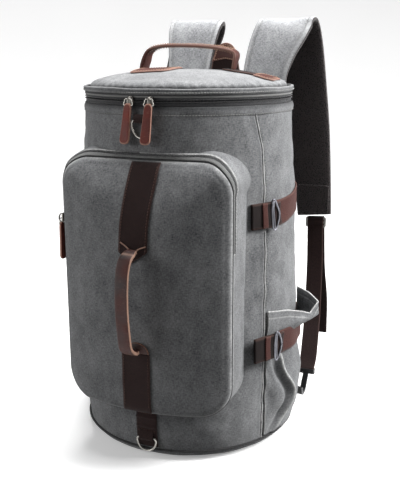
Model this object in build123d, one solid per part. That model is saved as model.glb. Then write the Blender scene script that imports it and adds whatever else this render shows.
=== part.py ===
"""Travel backpack: a round canvas barrel with a zipped lid and a zipped front pocket.

Millimetres. The origin is the centre of the base on the floor, +Z is up, the front of the
bag faces -Y and its right side is +X.  Angles round the barrel are counted from the front,
positive towards the right side.
"""
import os
from math import degrees

from build123d import *

# ---- driving dimensions ---------------------------------------------------------------
BASE_R = 146.0          # barrel radius just above the floor
BELLY_R = 150.0         # barrel radius at the belly
RIM_R = 139.5           # barrel radius at the mouth
BASE_Z = 12.0
BELLY_Z = 170.0
RIM_Z = 453.5
CANVAS = 3.0            # canvas wall with its seam allowance
LINING = 1.2
FRONT_SEAM = 62.0       # where the front panel is sewn to the side panel
BACK_SEAM = 125.0
FOOT_R = 132.0          # flat part of the stuffed base
BOARD_T = 3.0
PIPING_R = 2.4

ZIP_MID_Z = 460.6       # where the two rows of zip teeth meet
ZIP_ROW_GAP = 0.5
ZIP_HEIGHT = 6.0        # one tape with its teeth
BAND_TOP_Z = 476.0
LID_TOP_Z = 497.0
LID_WALL = 3.0
LID_FLAT_R = 99.0       # inside this radius the lid is nearly flat
FOLD_Y = 95.0           # the chord across which the lid folds
FOLD_GAP = 0.6

POCKET_HALF = 114.0     # front pocket, half width
POCKET_LOW = 75.0
POCKET_HIGH = 391.0
POCKET_FRONT = 177.5    # how far the pocket's middle stands out from the barrel's axis
POCKET_SIDE = 150.0     # the same at its side edges
POCKET_TOP = 148.0      # the same at its top edge
POCKET_CORNER = 38.0
POCKET_WALL = 2.4
LEAN_LOW_Z = 300.0      # above this the pocket's face leans back
LEAN_MIDDLE = 170.0     # how far it stands out halfway up the lean
FLAP_Z = 296.0          # the flap folds here
POCKET_ZIP_END_Z = 283.0
FLAP_GAP = 0.6

WEB_W = 38.0            # webbing down the front
WEB_T = 1.6
TAIL_WEB_W = 28.0       # its narrower length under the pocket
SIDE_STRAPS = (318.0, 145.0)
SIDE_STRAP_W = 32.0

SLEEVE_HALF = 88.0      # padded sleeve against the back, inside
SLEEVE_TOP = 300.0
SLEEVE_Y = 105.0
SLEEVE_T = 5.0
BACK_PAD_LOW = 70.0
BACK_PAD_HIGH = 425.0
BACK_PAD_T = 8.0
BACK_PAD_ANGLES = (144.0, 216.0)
YOKE_HALF = 100.0       # band that the shoulder straps are sewn into
YOKE_LOW = 430.0
YOKE_HIGH = 460.5
YOKE_Y = 143.6

STRAP_T = 9.0           # shoulder strap pad
STRAP_WEB_W = 25.0
STRAP_WEB_T = 1.8

# ---- helpers ---------------------------------------------------------------------------


def barrel_radius(z):
    """Outside radius of the canvas barrel at height z."""
    rise = (BELLY_R - BASE_R) / (BELLY_Z - BASE_Z)
    fall = (RIM_R - BELLY_R) / (RIM_Z - BELLY_Z)
    bend = (fall - rise) / (RIM_Z - BASE_Z)
    return BASE_R + rise * (z - BASE_Z) + bend * (z - BASE_Z) * (z - BELLY_Z)


def turn(shape, angle):
    """Turn a shape made at the front (-Y) round to an angle of the barrel."""
    return Rot(0, 0, angle) * shape


def sector(points, low_angle, high_angle):
    """Solid of revolution of an outline of (radius, z) points between two angles."""
    outline = make_face(Polyline(*[(r, 0, z) for r, z in points], close=True))
    solid = revolve(outline, Axis.Z, revolution_arc=high_angle - low_angle)
    return Rot(0, 0, low_angle - 90) * solid


def wall(low_z, high_z, inner, outer, low_angle=-180.0, high_angle=180.0):
    """A piece of the barrel's wall, between two offsets from the canvas surface."""
    def point(z, offset):
        return (barrel_radius(z) + offset, 0, z)

    mid_z = (low_z + high_z) / 2
    outside = ThreePointArc(point(low_z, outer), point(mid_z, outer), point(high_z, outer))
    inside = ThreePointArc(point(low_z, inner), point(mid_z, inner), point(high_z, inner))
    top = Line(point(high_z, inner), point(high_z, outer))
    bottom = Line(point(low_z, inner), point(low_z, outer))
    outline = make_face([outside, top, inside, bottom])
    solid = revolve(outline, Axis.Z, revolution_arc=high_angle - low_angle)
    return Rot(0, 0, low_angle - 90) * solid


def block(low, high):
    """Box between two corners."""
    size = [b - a for a, b in zip(low, high)]
    middle = [(a + b) / 2 for a, b in zip(low, high)]
    return Pos(*middle) * Box(*size)


def band(stations, thickness):
    """A flat strap through stations of (x, y, z, width), its width along X."""
    sections = []
    for i, (x, y, z, width) in enumerate(stations):
        before = stations[max(i - 1, 0)]
        after = stations[min(i + 1, len(stations) - 1)]
        run = Vector(after[0] - before[0], after[1] - before[1], after[2] - before[2])
        plane = Plane(origin=(x, y, z), x_dir=(1, 0, 0), z_dir=(0, run.Y, run.Z))
        sections.append(plane * Rectangle(width, thickness))
    return loft(sections, ruled=True)


def wire_loop(points, wire, corner):
    """A closed ring of round wire with rounded corners."""
    path = FilletPolyline(*points, radius=corner, close=True)
    start = Plane(origin=path @ 0, z_dir=path % 0)
    return sweep(start * Circle(wire / 2), path)


def group(pieces):
    """Several separate solids kept as one node."""
    return Compound(children=[solid for piece in pieces for solid in piece.solids()])


def save(name, shape):
    """Write one named piece."""
    shape.label = name
    export_step(shape, f"parts/{name}.step")


# ---- barrel ----------------------------------------------------------------------------


def make_barrel():
    save("front_panel", wall(BASE_Z, RIM_Z, -CANVAS, 0, -FRONT_SEAM, FRONT_SEAM))
    save("side_panel_right", wall(BASE_Z, RIM_Z, -CANVAS, 0, FRONT_SEAM, BACK_SEAM))
    save("side_panel_left", wall(BASE_Z, RIM_Z, -CANVAS, 0, -BACK_SEAM, -FRONT_SEAM))
    save("back_panel", wall(BASE_Z, RIM_Z, -CANVAS, 0, BACK_SEAM, 360 - BACK_SEAM))


def make_base():
    edge = BASE_Z
    base = Pos(0, 0, edge / 2) * Cylinder(BASE_R, edge)
    base = fillet(base.edges().group_by(Axis.Z)[0], edge - 0.5)
    base -= Pos(0, 0, edge / 2 + CANVAS) * Cylinder(FOOT_R, edge)
    save("base_panel", base)
    board_z = CANVAS + 0.2
    save("base_board", Pos(0, 0, board_z + BOARD_T / 2) * Cylinder(FOOT_R - 1, BOARD_T))
    seat = BASE_R + 0.3
    bottom = (seat, 0, edge - PIPING_R)
    top = (seat, 0, edge + PIPING_R)
    outside = ThreePointArc(bottom, (seat + PIPING_R, 0, edge), top)
    inside = Line(top, bottom)
    save("base_piping", revolve(make_face([outside, inside]), Axis.Z))


def make_interior():
    floor_z = CANVAS + 3.6
    side = wall(BASE_Z + 1, RIM_Z - 1, -CANVAS - 0.2 - LINING, -CANVAS - 0.2)
    floor = Pos(0, 0, BASE_Z + 1 + LINING / 2) * Cylinder(BASE_R - CANVAS - 0.8, LINING)
    save("lining", side + floor)
    low = (-SLEEVE_HALF, SLEEVE_Y - SLEEVE_T, floor_z + 12)
    high = (SLEEVE_HALF, SLEEVE_Y, SLEEVE_TOP)
    save("laptop_sleeve", fillet(block(low, high).edges().filter_by(Axis.Y), 8))


def make_back():
    save("back_pad", wall(BACK_PAD_LOW, BACK_PAD_HIGH, 0.2, BACK_PAD_T, *BACK_PAD_ANGLES))
    yoke = block((-YOKE_HALF, 112, YOKE_LOW), (YOKE_HALF, YOKE_Y, YOKE_HIGH))
    yoke -= Pos(0, 0, YOKE_LOW + 15) * Cylinder(barrel_radius(YOKE_LOW) + 0.2, 40)
    yoke -= Pos(0, 0, YOKE_HIGH) * Cylinder(barrel_radius(YOKE_LOW + 10) + 2.2, 40)
    save("strap_yoke", yoke)


# ---- mouth zip and lid -----------------------------------------------------------------


def in_front_of_fold(shape):
    return shape & block((-200, -200, 400), (200, FOLD_Y - FOLD_GAP / 2, 600))


def behind_fold(shape):
    return shape & block((-200, FOLD_Y + FOLD_GAP / 2, 400), (200, 200, 600))


def ring(inner, outer, low_z, high_z):
    return sector([(inner, low_z), (outer, low_z), (outer, high_z), (inner, high_z)], -180, 180)


def make_mouth():
    save("mouth_band", wall(RIM_Z - 12, RIM_Z, 0.1, 2.0))
    row_top = ZIP_MID_Z - ZIP_ROW_GAP / 2
    tape = ring(RIM_R - 2.6, RIM_R - 1.4, RIM_Z, row_top)
    save("mouth_zip_tape", in_front_of_fold(tape))
    teeth = ring(RIM_R - 1.4, RIM_R + 0.2, row_top - 2.2, row_top)
    save("mouth_zip_teeth", in_front_of_fold(teeth))


def lid_outline():
    """Half outline of the whole lid's shell, from its side up over the crown."""
    crown = LID_TOP_Z - BAND_TOP_Z
    outer = []
    for share in (1.0, 0.96, 0.87, 0.72, 0.43, 0.0):
        outer.append((RIM_R * share, BAND_TOP_Z + crown * (1 - share**2.6) ** 0.8))
    inner = [(r - LID_WALL if r > LID_FLAT_R else r, z - LID_WALL) for r, z in reversed(outer)]
    return outer + inner


def make_lid():
    shell = sector(lid_outline(), -180, 180)
    row_low = ZIP_MID_Z + ZIP_ROW_GAP / 2
    tape_top = ZIP_MID_Z + ZIP_HEIGHT
    rear_wall = ring(RIM_R - LID_WALL, RIM_R, RIM_Z, BAND_TOP_Z)
    rear_band = ring(RIM_R, RIM_R + 1.6, tape_top, BAND_TOP_Z)
    save("lid_rear", behind_fold(shell + rear_wall + rear_band))
    save("lid_top", in_front_of_fold(shell))
    band_wall = ring(RIM_R - 1.4, RIM_R + 1.6, tape_top, BAND_TOP_Z - LID_WALL)
    band_lip = ring(RIM_R + 0.1, RIM_R + 1.6, BAND_TOP_Z - LID_WALL, BAND_TOP_Z)
    save("lid_band", in_front_of_fold(band_wall + band_lip))
    save("lid_zip_tape", in_front_of_fold(ring(RIM_R - 2.6, RIM_R - 1.4, row_low, tape_top)))
    save("lid_zip_teeth", in_front_of_fold(ring(RIM_R - 1.4, RIM_R + 0.2, row_low, row_low + 2.2)))


SLIDER_ANGLES = {"left": -7.5, "right": 3.5}
SLIDER_FACE = RIM_R + 3.6       # outer face of the slider's plate, from the barrel's axis
PULL_R = RIM_R + 8.0            # where the pull's wire lies
SLIDER_HALF_W = 4.2
SLIDER_HALF_H = 5.5
BAIL_LOW = 459.3                # the bail arches out between these two heights
BAIL_HIGH = 466.7
BAIL_DEPTH = 6.8
BAIL_WALL = 1.2
PULL_TOP_Z = 463.0              # axis that a pull swings about
PULL_TILT = 5.0
PULL_LENGTH = 48.0
PULL_W = 12.0
PULL_T = 3.0
WIRE = 1.3                      # pull's wire
WIRE_DROP = 7.7
WIRE_HALF_TOP = 4.4
WIRE_HALF_FOOT = 5.2


def make_slider():
    """Zip slider at the front: plate, and a bail that the pull's wire runs through."""
    low = (-SLIDER_HALF_W, -SLIDER_FACE, ZIP_MID_Z - SLIDER_HALF_H)
    high = (SLIDER_HALF_W, -RIM_R - 2.0, BAIL_HIGH + 0.5)
    plate = block(low, high)
    plate = fillet(plate.edges().filter_by(Axis.Y), 2.2)
    arch = block((-1.5, -SLIDER_FACE - BAIL_DEPTH, BAIL_LOW), (1.5, -SLIDER_FACE, BAIL_HIGH))
    eye = block(
        (-3, -SLIDER_FACE - BAIL_DEPTH + BAIL_WALL, BAIL_LOW + BAIL_WALL),
        (3, -SLIDER_FACE, BAIL_HIGH - BAIL_WALL),
    )
    return plate + (arch - eye)


def make_pull(length):
    """Wire loop and leather tongue of a zip pull, hanging from the bail's eye."""
    top = PULL_TOP_Z
    foot = top - WIRE_DROP
    corners = [(-WIRE_HALF_TOP, top), (WIRE_HALF_TOP, top), (WIRE_HALF_FOOT, foot), (-WIRE_HALF_FOOT, foot)]
    loop = wire_loop([(x, -PULL_R, z) for x, z in corners], WIRE, 1.6)
    tongue_top = top - WIRE_DROP + PULL_T
    tongue = Pos(0, -PULL_R, tongue_top - length / 2) * Box(PULL_W, PULL_T, length)
    tongue = fillet(tongue.edges().filter_by(Axis.Y), 3.0)
    tongue -= loop
    hinge = Axis((0, -PULL_R, top), (1, 0, 0))
    return loop.rotate(hinge, -PULL_TILT), tongue.rotate(hinge, -PULL_TILT)


def make_lid_sliders():
    for side, angle in SLIDER_ANGLES.items():
        wire, tongue = make_pull(PULL_LENGTH)
        save(f"lid_slider_{side}", turn(make_slider(), angle))
        save(f"lid_pull_wire_{side}", turn(wire, angle))
        save(f"lid_pull_{side}", turn(tongue, angle))


# ---- handles ---------------------------------------------------------------------------

TOP_HANDLE_HALF = 66.0
TOP_HANDLE_RISE = 25.0
TOP_HANDLE_Z = 500.6            # the handle flops about this line
PATCH_T = 1.6
FRONT_HANDLE_LOW = 156.0
FRONT_HANDLE_HIGH = 280.0
FRONT_HANDLE_RISE = 27.0
ANCHOR_T = 2.0
ANCHOR_H = 20.0
ANCHOR_Y = -POCKET_FRONT - WEB_T - 0.8 - ANCHOR_T
FRONT_HANDLE_Y = ANCHOR_Y - 1.6


def arched_grip(half, rise, depth, width):
    """A flat grip over the X axis whose feet narrow to nothing, so that it can flop sideways."""
    shoulder = half * 0.8
    path = FilletPolyline(
        (-half, 0, 0), (-shoulder, 0, rise), (shoulder, 0, rise), (half, 0, 0), radius=rise * 0.5
    )
    start = Plane(origin=path @ 0, x_dir=(0, 1, 0), z_dir=path % 0)
    bar = sweep(start * Rectangle(width, depth), path)
    wedge = make_face(Polyline((0, -1.2, 0), (0, 1.2, 0), (0, 41.2, 40), (0, -41.2, 40), close=True))
    return bar & extrude(wedge, 2 * half, both=True, dir=(1, 0, 0))


def lid_patch(outline, thickness):
    """A thin patch that follows the lid, cut to an outline seen from above."""
    def cap(offset):
        crown = [(r + (offset if r > LID_FLAT_R else 0), z + offset) for r, z in lid_outline()[:6]]
        return sector(crown + [(0, RIM_Z), (RIM_R + offset, RIM_Z)], -180, 180)

    return (cap(0.1 + thickness) - cap(0.1)) & (Pos(0, 0, 400) * extrude(outline, 200))


def make_top_handle():
    bar = arched_grip(TOP_HANDLE_HALF, TOP_HANDLE_RISE, 5.0, 20.0)
    save("top_handle", Pos(0, 0, TOP_HANDLE_Z) * bar)
    left = lid_patch(Pos(-46, -16) * RectangleRounded(50, 36, 12), PATCH_T)
    right = lid_patch(Pos(110, 0) * RectangleRounded(24, 34, 8), PATCH_T)
    save("top_handle_patches", group([left, right]))
    save("top_handle_webbing", lid_patch(Pos(76, 0) * Rectangle(40, 30), PATCH_T))


def make_front_handle():
    """The grip stands out from the webbing; its feet are held under two leather patches."""
    half = (FRONT_HANDLE_HIGH - FRONT_HANDLE_LOW) / 2
    middle = (FRONT_HANDLE_HIGH + FRONT_HANDLE_LOW) / 2
    grip = arched_grip(half, FRONT_HANDLE_RISE, 4.0, 13.0)
    grip = Rot(90, 0, 0) * grip
    grip = Rot(0, 90, 0) * grip
    save("front_handle", Pos(0, FRONT_HANDLE_Y, middle) * grip)
    anchors = []
    for z in (FRONT_HANDLE_LOW - 2, FRONT_HANDLE_HIGH + 2):
        anchors.append(Pos(0, ANCHOR_Y + ANCHOR_T / 2, z) * Box(WEB_W, ANCHOR_T, ANCHOR_H))
    save("front_handle_anchors", group(anchors))


# ---- front pocket ----------------------------------------------------------------------


def pocket_depth(set_back):
    """Everything behind the pocket's bowed face, the face set back by a distance."""
    bow = POCKET_FRONT - POCKET_SIDE
    radius = (POCKET_HALF**2 + bow**2) / (2 * bow)
    behind = Pos(0, radius - POCKET_FRONT, 230) * Cylinder(radius, 560)
    lean = make_face(Polyline(
        (0, -POCKET_FRONT - 0.5, LEAN_LOW_Z), (0, -LEAN_MIDDLE, 350), (0, -POCKET_TOP, POCKET_HIGH + 1),
        (0, -160, 440), (0, -300, 440), (0, -300, LEAN_LOW_Z), close=True,
    ))
    behind -= extrude(lean, 300, both=True, dir=(1, 0, 0))
    return Pos(0, set_back, 0) * behind


def pocket_block(shrink):
    """The pocket's rounded outline as a deep block, shrunk by a wall."""
    size = (2 * (POCKET_HALF - shrink), POCKET_HIGH - POCKET_LOW - 2 * shrink)
    outline = RectangleRounded(*size, POCKET_CORNER - shrink)
    middle = (POCKET_HIGH + POCKET_LOW) / 2
    return Pos(0, -60, middle) * (Rot(90, 0, 0) * extrude(outline, 240))


def off_barrel(shape, gap=0.2):
    """Cut a piece back to just outside the barrel."""
    return shape - wall(BASE_Z + 1, RIM_Z - 1, -120, gap)


def layer(near, far):
    """What lies between two depths behind the pocket's face."""
    return pocket_depth(near) - pocket_depth(far)


def make_pocket():
    """Bowed face folded at the flap line, side walls, and the zip's tapes in the walls."""
    above = block((-200, -260, FLAP_Z + FLAP_GAP / 2), (200, 0, 460))
    below = block((-200, -260, 0), (200, 0, FLAP_Z - FLAP_GAP / 2))
    zip_part = block((-200, -260, POCKET_ZIP_END_Z), (200, 0, 460))
    under_zip = block((-200, -260, 0), (200, 0, POCKET_ZIP_END_Z))
    walls = pocket_block(0) - pocket_block(POCKET_WALL)
    outer_tape = (POCKET_WALL + 0.1, 7.7)
    inner_tape = (8.3, 14.0)

    face = pocket_block(0) & layer(0, POCKET_WALL)
    save("pocket_flap", face & above)
    save("pocket_front", face & below)
    outer_strip = walls & layer(*outer_tape)
    save("flap_zip_tape", off_barrel(outer_strip & above, 0.6))
    inner_strip = walls & layer(*inner_tape)
    save("pocket_zip_tape", off_barrel(inner_strip & zip_part))
    gusset = off_barrel(walls & pocket_depth(inner_tape[1]))
    gusset += off_barrel(walls & layer(outer_tape[0], inner_tape[1]) & under_zip)
    save("pocket_gusset", gusset)


def webbing_length(low_z, high_z):
    """Webbing lying on the pocket's face between two heights."""
    lane = block((-WEB_W / 2, -260, low_z), (WEB_W / 2, -100, high_z))
    return layer(-WEB_T - 0.1, -0.1) & lane


def make_front_webbing():
    """Webbing down the pocket's middle: on the flap, at both ends of the grip, and under the pocket."""
    save("flap_webbing", webbing_length(FLAP_Z + FLAP_GAP / 2, POCKET_HIGH - 4))
    above_grip = webbing_length(FRONT_HANDLE_HIGH - ANCHOR_H / 2, FLAP_Z - FLAP_GAP / 2)
    below_grip = webbing_length(POCKET_LOW + 2, FRONT_HANDLE_LOW + ANCHOR_H / 2)
    half_angle = degrees(TAIL_WEB_W / 2 / BASE_R)
    tail = wall(BASE_Z + 4, POCKET_LOW - 3, 0.2, 0.2 + WEB_T, -half_angle, half_angle)
    save("front_webbing", group([above_grip, below_grip, tail]))


POCKET_SLIDER_Z = 312.0
POCKET_SLIDER_Y = -POCKET_SIDE + 8.0


def make_pocket_slider():
    """Slider on the pocket's left wall; its pull hangs down beside the wall."""
    x = -POCKET_HALF
    y = POCKET_SLIDER_Y
    z = POCKET_SLIDER_Z
    plate = block((x - 3.0, y - 4, z - 5.5), (x - 1.0, y + 4, z + 5.5))
    plate = fillet(plate.edges().filter_by(Axis.X), 2.0)
    arch = block((x - 7.6, y - 1.4, z - 4.5), (x - 3.0, y + 1.4, z + 3.5))
    eye = block((x - 6.4, y - 3, z - 3.3), (x - 3.0, y + 3, z + 2.3))
    save("pocket_slider", plate + (arch - eye))
    wire_x = x - 4.8
    corners = [(-4, z - 1.4), (4, z - 1.4), (4.6, z - 10), (-4.6, z - 10)]
    loop = wire_loop([(wire_x, y + dy, dz) for dy, dz in corners], WIRE, 1.5)
    tongue = Pos(wire_x, y, z - 7 - PULL_LENGTH / 2) * Box(PULL_T, 10.0, PULL_LENGTH)
    tongue = fillet(tongue.edges().filter_by(Axis.X), 3.0)
    save("pocket_pull_wire", loop)
    save("pocket_pull", tongue - loop)


# ---- rings -----------------------------------------------------------------------------


def d_ring(width, height, wire):
    """D-ring hanging below its straight bar, which lies along X at the origin."""
    half = width / 2
    points = [(-half, 0, 0), (half, 0, 0), (half, 0, -height * 0.55), (0, 0, -height * 1.12),
              (-half, 0, -height * 0.55)]
    path = FilletPolyline(*points, radius=2.6, close=True)
    start = Plane(origin=path @ 0, z_dir=path % 0)
    return sweep(start * Circle(wire / 2), path)


def ring_tab(width, wire, reach):
    """Folded webbing tab that holds a ring's straight bar; the bar's centre is the origin."""
    tab = Pos(0, 0.2, reach / 2) * Box(width, wire + 3.0, reach + 5)
    bore = Rot(0, 90, 0) * Cylinder(wire / 2 + 0.06, width + 2)
    return tab - bore


UPPER_RING_Z = 438.0
UPPER_RING_ANGLE = -1.0
LOWER_RING_Z = 29.0
HOOK_RING_Z = 31.0              # rings low on the sides for the shoulder straps' hooks
HOOK_RING_ANGLE = 112.0
RING_WIRE = 2.6
UPPER_RING = (25.0, 20.0)       # width and height of each D-ring, to the wire's centre
LOWER_RING = (27.0, 18.0)
HOOK_RING = (24.0, 17.0)


def make_rings():
    tabs = []
    upper_r = barrel_radius(UPPER_RING_Z - 20) + RING_WIRE / 2 + 0.9
    upper = Pos(0, -upper_r, UPPER_RING_Z) * d_ring(*UPPER_RING, RING_WIRE)
    save("upper_ring", turn(upper, UPPER_RING_ANGLE))
    tab = Pos(0, -upper_r, UPPER_RING_Z) * ring_tab(18, RING_WIRE, 2.5)
    tab &= Pos(0, 0, 440) * Cylinder(upper_r + 2.0, 60)
    tab = off_barrel(tab, 0.1) - wall(RIM_Z - 12.5, RIM_Z, 0, 2.05)
    tabs.append(turn(tab, UPPER_RING_ANGLE))
    lower_r = barrel_radius(LOWER_RING_Z) + RING_WIRE / 2 + 3.4
    save("lower_ring", Pos(0, -lower_r, LOWER_RING_Z) * d_ring(*LOWER_RING, RING_WIRE))
    tab = Pos(0, -lower_r, LOWER_RING_Z) * ring_tab(20, RING_WIRE, 8)
    tabs.append(off_barrel(tab, 1.9))
    base_r = barrel_radius(HOOK_RING_Z) + RING_WIRE / 2 + 2.6
    for side, sign in (("right", 1), ("left", -1)):
        angle = sign * HOOK_RING_ANGLE
        ring_piece = Pos(0, -base_r, HOOK_RING_Z) * d_ring(*HOOK_RING, RING_WIRE)
        save(f"base_ring_{side}", turn(ring_piece, angle))
        tab = Pos(0, -base_r, HOOK_RING_Z) * ring_tab(17, RING_WIRE, 10)
        tabs.append(turn(off_barrel(tab, 0.2), angle))
    save("ring_tabs", group(tabs))


# ---- sides -----------------------------------------------------------------------------

SIDE_POCKET_PROFILE = ((16, 3.2), (88, 8.5), (126, 5.4), (164, 5.4), (196, 24.0))
SIDE_POCKET_ANGLES = (64.0, 106.0)
SIDE_LOOP_ANGLES = (53.5, 65.5)
BUCKLE_ANGLES = (65.7, 71.0)
BUCKLE_SLOT = (67.0, 69.6)
STRAP_START = 71.2
STRAP_LIFTS = (0.3, 6.2)        # the lower strap crosses over the side pocket
SIDE_STRAP_T = 2.4


def side_pocket():
    """Open-topped pocket sewn to the right side, drawn in where the lower strap crosses."""
    low, high = SIDE_POCKET_ANGLES
    outer = [(barrel_radius(z) + offset, z) for z, offset in SIDE_POCKET_PROFILE]
    inner = [(barrel_radius(z) + 0.2, z) for z, _ in reversed(SIDE_POCKET_PROFILE)]
    solid = sector(outer + inner, low, high)
    top_z, top_offset = SIDE_POCKET_PROFILE[-1]
    cavity_out = [(barrel_radius(z) + offset - 2.2, z) for z, offset in SIDE_POCKET_PROFILE[1:]]
    cavity_in = [(barrel_radius(z) + 0.2, z) for z, _ in reversed(SIDE_POCKET_PROFILE[1:])]
    step = (barrel_radius(top_z) + top_offset - 2.2, top_z + 5)
    back = (barrel_radius(top_z) + 0.2, top_z + 5)
    start = (barrel_radius(20) + 0.6, 20)
    cavity = sector([start] + cavity_out + [step, back] + cavity_in, low + 1.2, high - 1.2)
    return solid - cavity


def make_side_pockets():
    right = side_pocket()
    save("side_pocket_right", right)
    save("side_pocket_left", mirror(right, Plane.YZ))


def side_strap_set(z, lift):
    """Loop, buckle and strap of one compression strap on the right side."""
    low = z - SIDE_STRAP_W / 2
    high = z + SIDE_STRAP_W / 2
    loop = wall(low, high, lift, lift + SIDE_STRAP_T, *SIDE_LOOP_ANGLES)
    frame = wall(low - 3, high + 3, lift - 0.2, lift + 3.4, *BUCKLE_ANGLES)
    frame -= wall(low, high, lift - 1, lift + 5, *BUCKLE_SLOT)
    strap = wall(low, high, lift + 0.2, lift + SIDE_STRAP_T, STRAP_START, BACK_SEAM)
    return loop, frame, strap


def make_side_straps():
    names = ("side_loops", "side_buckles", "side_straps")
    groups = {name: [] for name in names}
    for z, lift in zip(SIDE_STRAPS, STRAP_LIFTS):
        for name, piece in zip(names, side_strap_set(z, lift)):
            groups[name] += [piece, mirror(piece, Plane.YZ)]
    for name, pieces in groups.items():
        save(name, group(pieces))


# ---- shoulder straps -------------------------------------------------------------------

# centre line heights and depths are the same on both sides: (y, z, width)
STRAP_LINE = (
    (149, 462, 66), (153, 490, 68), (163, 525, 76), (175, 551, 84), (189, 561, 87),
    (202, 552, 84), (208, 520, 78), (209, 460, 70), (206, 400, 64), (203, 330, 58), (200, 268, 53),
)
STRAP_X = {
    "right": (60, 61, 69, 79, 83, 88, 96, 107, 117, 125, 131),
    "left": (62, 62, 62, 62, 62, 66, 78, 96, 112, 124, 131),
}
GLIDE_X = 134.0
GLIDE_Y = 200.0
GLIDE_Z = 256.0
GLIDE_HALF = 16.0
TAIL_LOW_Z = 84.0


def make_shoulder_straps():
    for side, sign in (("right", 1), ("left", -1)):
        stations = [(sign * x, y, z, w) for x, (y, z, w) in zip(STRAP_X[side], STRAP_LINE)]
        save(f"shoulder_strap_{side}", band(stations, STRAP_T))
        make_strap_webbing(side, sign)


def make_strap_webbing(side, sign):
    """Tri-glide under the pad, webbing down to the hook, and the webbing's free tail."""
    x, y = sign * GLIDE_X, GLIDE_Y
    glide = block((x - GLIDE_HALF, y - 1.6, GLIDE_Z - 8), (x + GLIDE_HALF, y + 1.6, GLIDE_Z + 8))
    glide = fillet(glide.edges().filter_by(Axis.Y), 3)
    slot = GLIDE_HALF - 3
    for z in (GLIDE_Z - 3.2, GLIDE_Z + 3.2):
        glide -= block((x - slot, y - 3, z - 1.9), (x + slot, y + 3, z + 1.9))
    save(f"tri_glide_{side}", glide)
    run = [(x, y - 2.9, GLIDE_Z + 4, STRAP_WEB_W), (x, y - 2.9, GLIDE_Z - 12, STRAP_WEB_W),
           (x + sign * 3, y - 16, 190, STRAP_WEB_W), (x + sign * 9, 150, 120, STRAP_WEB_W),
           (x + sign * 17, 106, 70, STRAP_WEB_W), (x + sign * 19, 92, 58, STRAP_WEB_W)]
    tail = [(x, y + 2.9, GLIDE_Z + 4, STRAP_WEB_W), (x + sign * 3, y + 6, 170, STRAP_WEB_W),
            (x + sign * 6, y + 6, TAIL_LOW_Z, STRAP_WEB_W)]
    save(f"strap_webbing_{side}", group([band(run, STRAP_WEB_T), band(tail, STRAP_WEB_T)]))
    make_hook(side, sign, run[-1])


HOOK_HEAD = (24.0, 8.0, 7.0)
HOOK_BAR = (8.0, 4.0)
HOOK_ROUTE = ((0, -6, -6), (-1, -22, -30), (-2, -34, -32), (-2, -38, -20))


def make_hook(side, sign, end):
    """Plastic hook at the webbing's lower end, reaching down past the ring on the base."""
    x, y, z, _ = end
    head = Pos(x, y - 5, z - 6) * Box(*HOOK_HEAD)
    path = FilletPolyline(*[(x + sign * dx, y + dy, z + dz) for dx, dy, dz in HOOK_ROUTE], radius=4)
    start = Plane(origin=path @ 0, x_dir=(1, 0, 0), z_dir=path % 0)
    save(f"strap_hook_{side}", head + sweep(start * Rectangle(*HOOK_BAR), path))


TAB_Y = 149.0
TAB_TOP = 530.0


def make_rear_tab():
    """Webbing tab standing between the shoulder straps, with a half-round leather patch."""
    web = band([(0, TAB_Y, 462, 50), (0, TAB_Y, 500, 48), (0, TAB_Y, TAB_TOP, 38)], 3.0)
    save("rear_tab", web)
    cap_z = TAB_TOP - 14
    cap = Pos(0, TAB_Y - 2.6, cap_z) * (Rot(90, 0, 0) * extrude(Circle(18), 0.9, both=True))
    cap &= block((-30, TAB_Y - 9, cap_z - 4), (30, TAB_Y + 3, cap_z + 24))
    save("rear_tab_patch", cap)


# ---- build -----------------------------------------------------------------------------

os.makedirs("parts", exist_ok=True)
make_barrel()
make_base()
make_interior()
make_back()
make_mouth()
make_lid()
make_lid_sliders()
make_top_handle()
make_front_handle()
make_pocket()
make_front_webbing()
make_pocket_slider()
make_rings()
make_side_pockets()
make_side_straps()
make_shoulder_straps()
make_rear_tab()
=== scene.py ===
"""Travel backpack: its looks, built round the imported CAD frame."""
import math

import bmesh
import bpy
import numpy as np
from mathutils import Matrix, Vector, noise


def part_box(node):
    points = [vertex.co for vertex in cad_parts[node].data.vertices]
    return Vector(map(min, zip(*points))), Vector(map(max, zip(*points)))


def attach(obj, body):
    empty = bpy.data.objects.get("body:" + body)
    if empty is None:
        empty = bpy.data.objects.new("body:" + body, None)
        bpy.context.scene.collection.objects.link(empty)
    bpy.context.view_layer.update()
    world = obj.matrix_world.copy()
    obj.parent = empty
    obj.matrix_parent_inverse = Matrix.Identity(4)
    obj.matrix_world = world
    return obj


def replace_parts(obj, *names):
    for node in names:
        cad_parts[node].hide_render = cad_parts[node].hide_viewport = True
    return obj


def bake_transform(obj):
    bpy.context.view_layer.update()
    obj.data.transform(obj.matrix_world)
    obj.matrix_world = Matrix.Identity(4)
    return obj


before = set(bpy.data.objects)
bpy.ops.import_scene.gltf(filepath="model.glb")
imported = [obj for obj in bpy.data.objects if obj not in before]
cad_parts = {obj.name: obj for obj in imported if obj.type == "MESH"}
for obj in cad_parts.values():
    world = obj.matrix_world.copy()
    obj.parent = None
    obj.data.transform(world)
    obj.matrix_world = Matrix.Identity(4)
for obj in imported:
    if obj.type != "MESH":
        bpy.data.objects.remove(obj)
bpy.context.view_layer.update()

# ---- driving sizes, in metres, read from the frame ---------------------------------------

MM = 0.001


def low(node):
    return np.array(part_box(node)[0])


def high(node):
    return np.array(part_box(node)[1])


def middle(node):
    return (low(node) + high(node)) / 2


def fitted_radius(node):
    """Outside radius of a wall of the barrel as a quadratic of height."""
    points = np.array([v.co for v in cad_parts[node].data.vertices])
    heights = np.round(points[:, 2], 4)
    radii = np.hypot(points[:, 0], points[:, 1])
    levels = np.unique(heights)
    return np.polyfit(levels, [radii[heights == z].max() for z in levels], 2)


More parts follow.
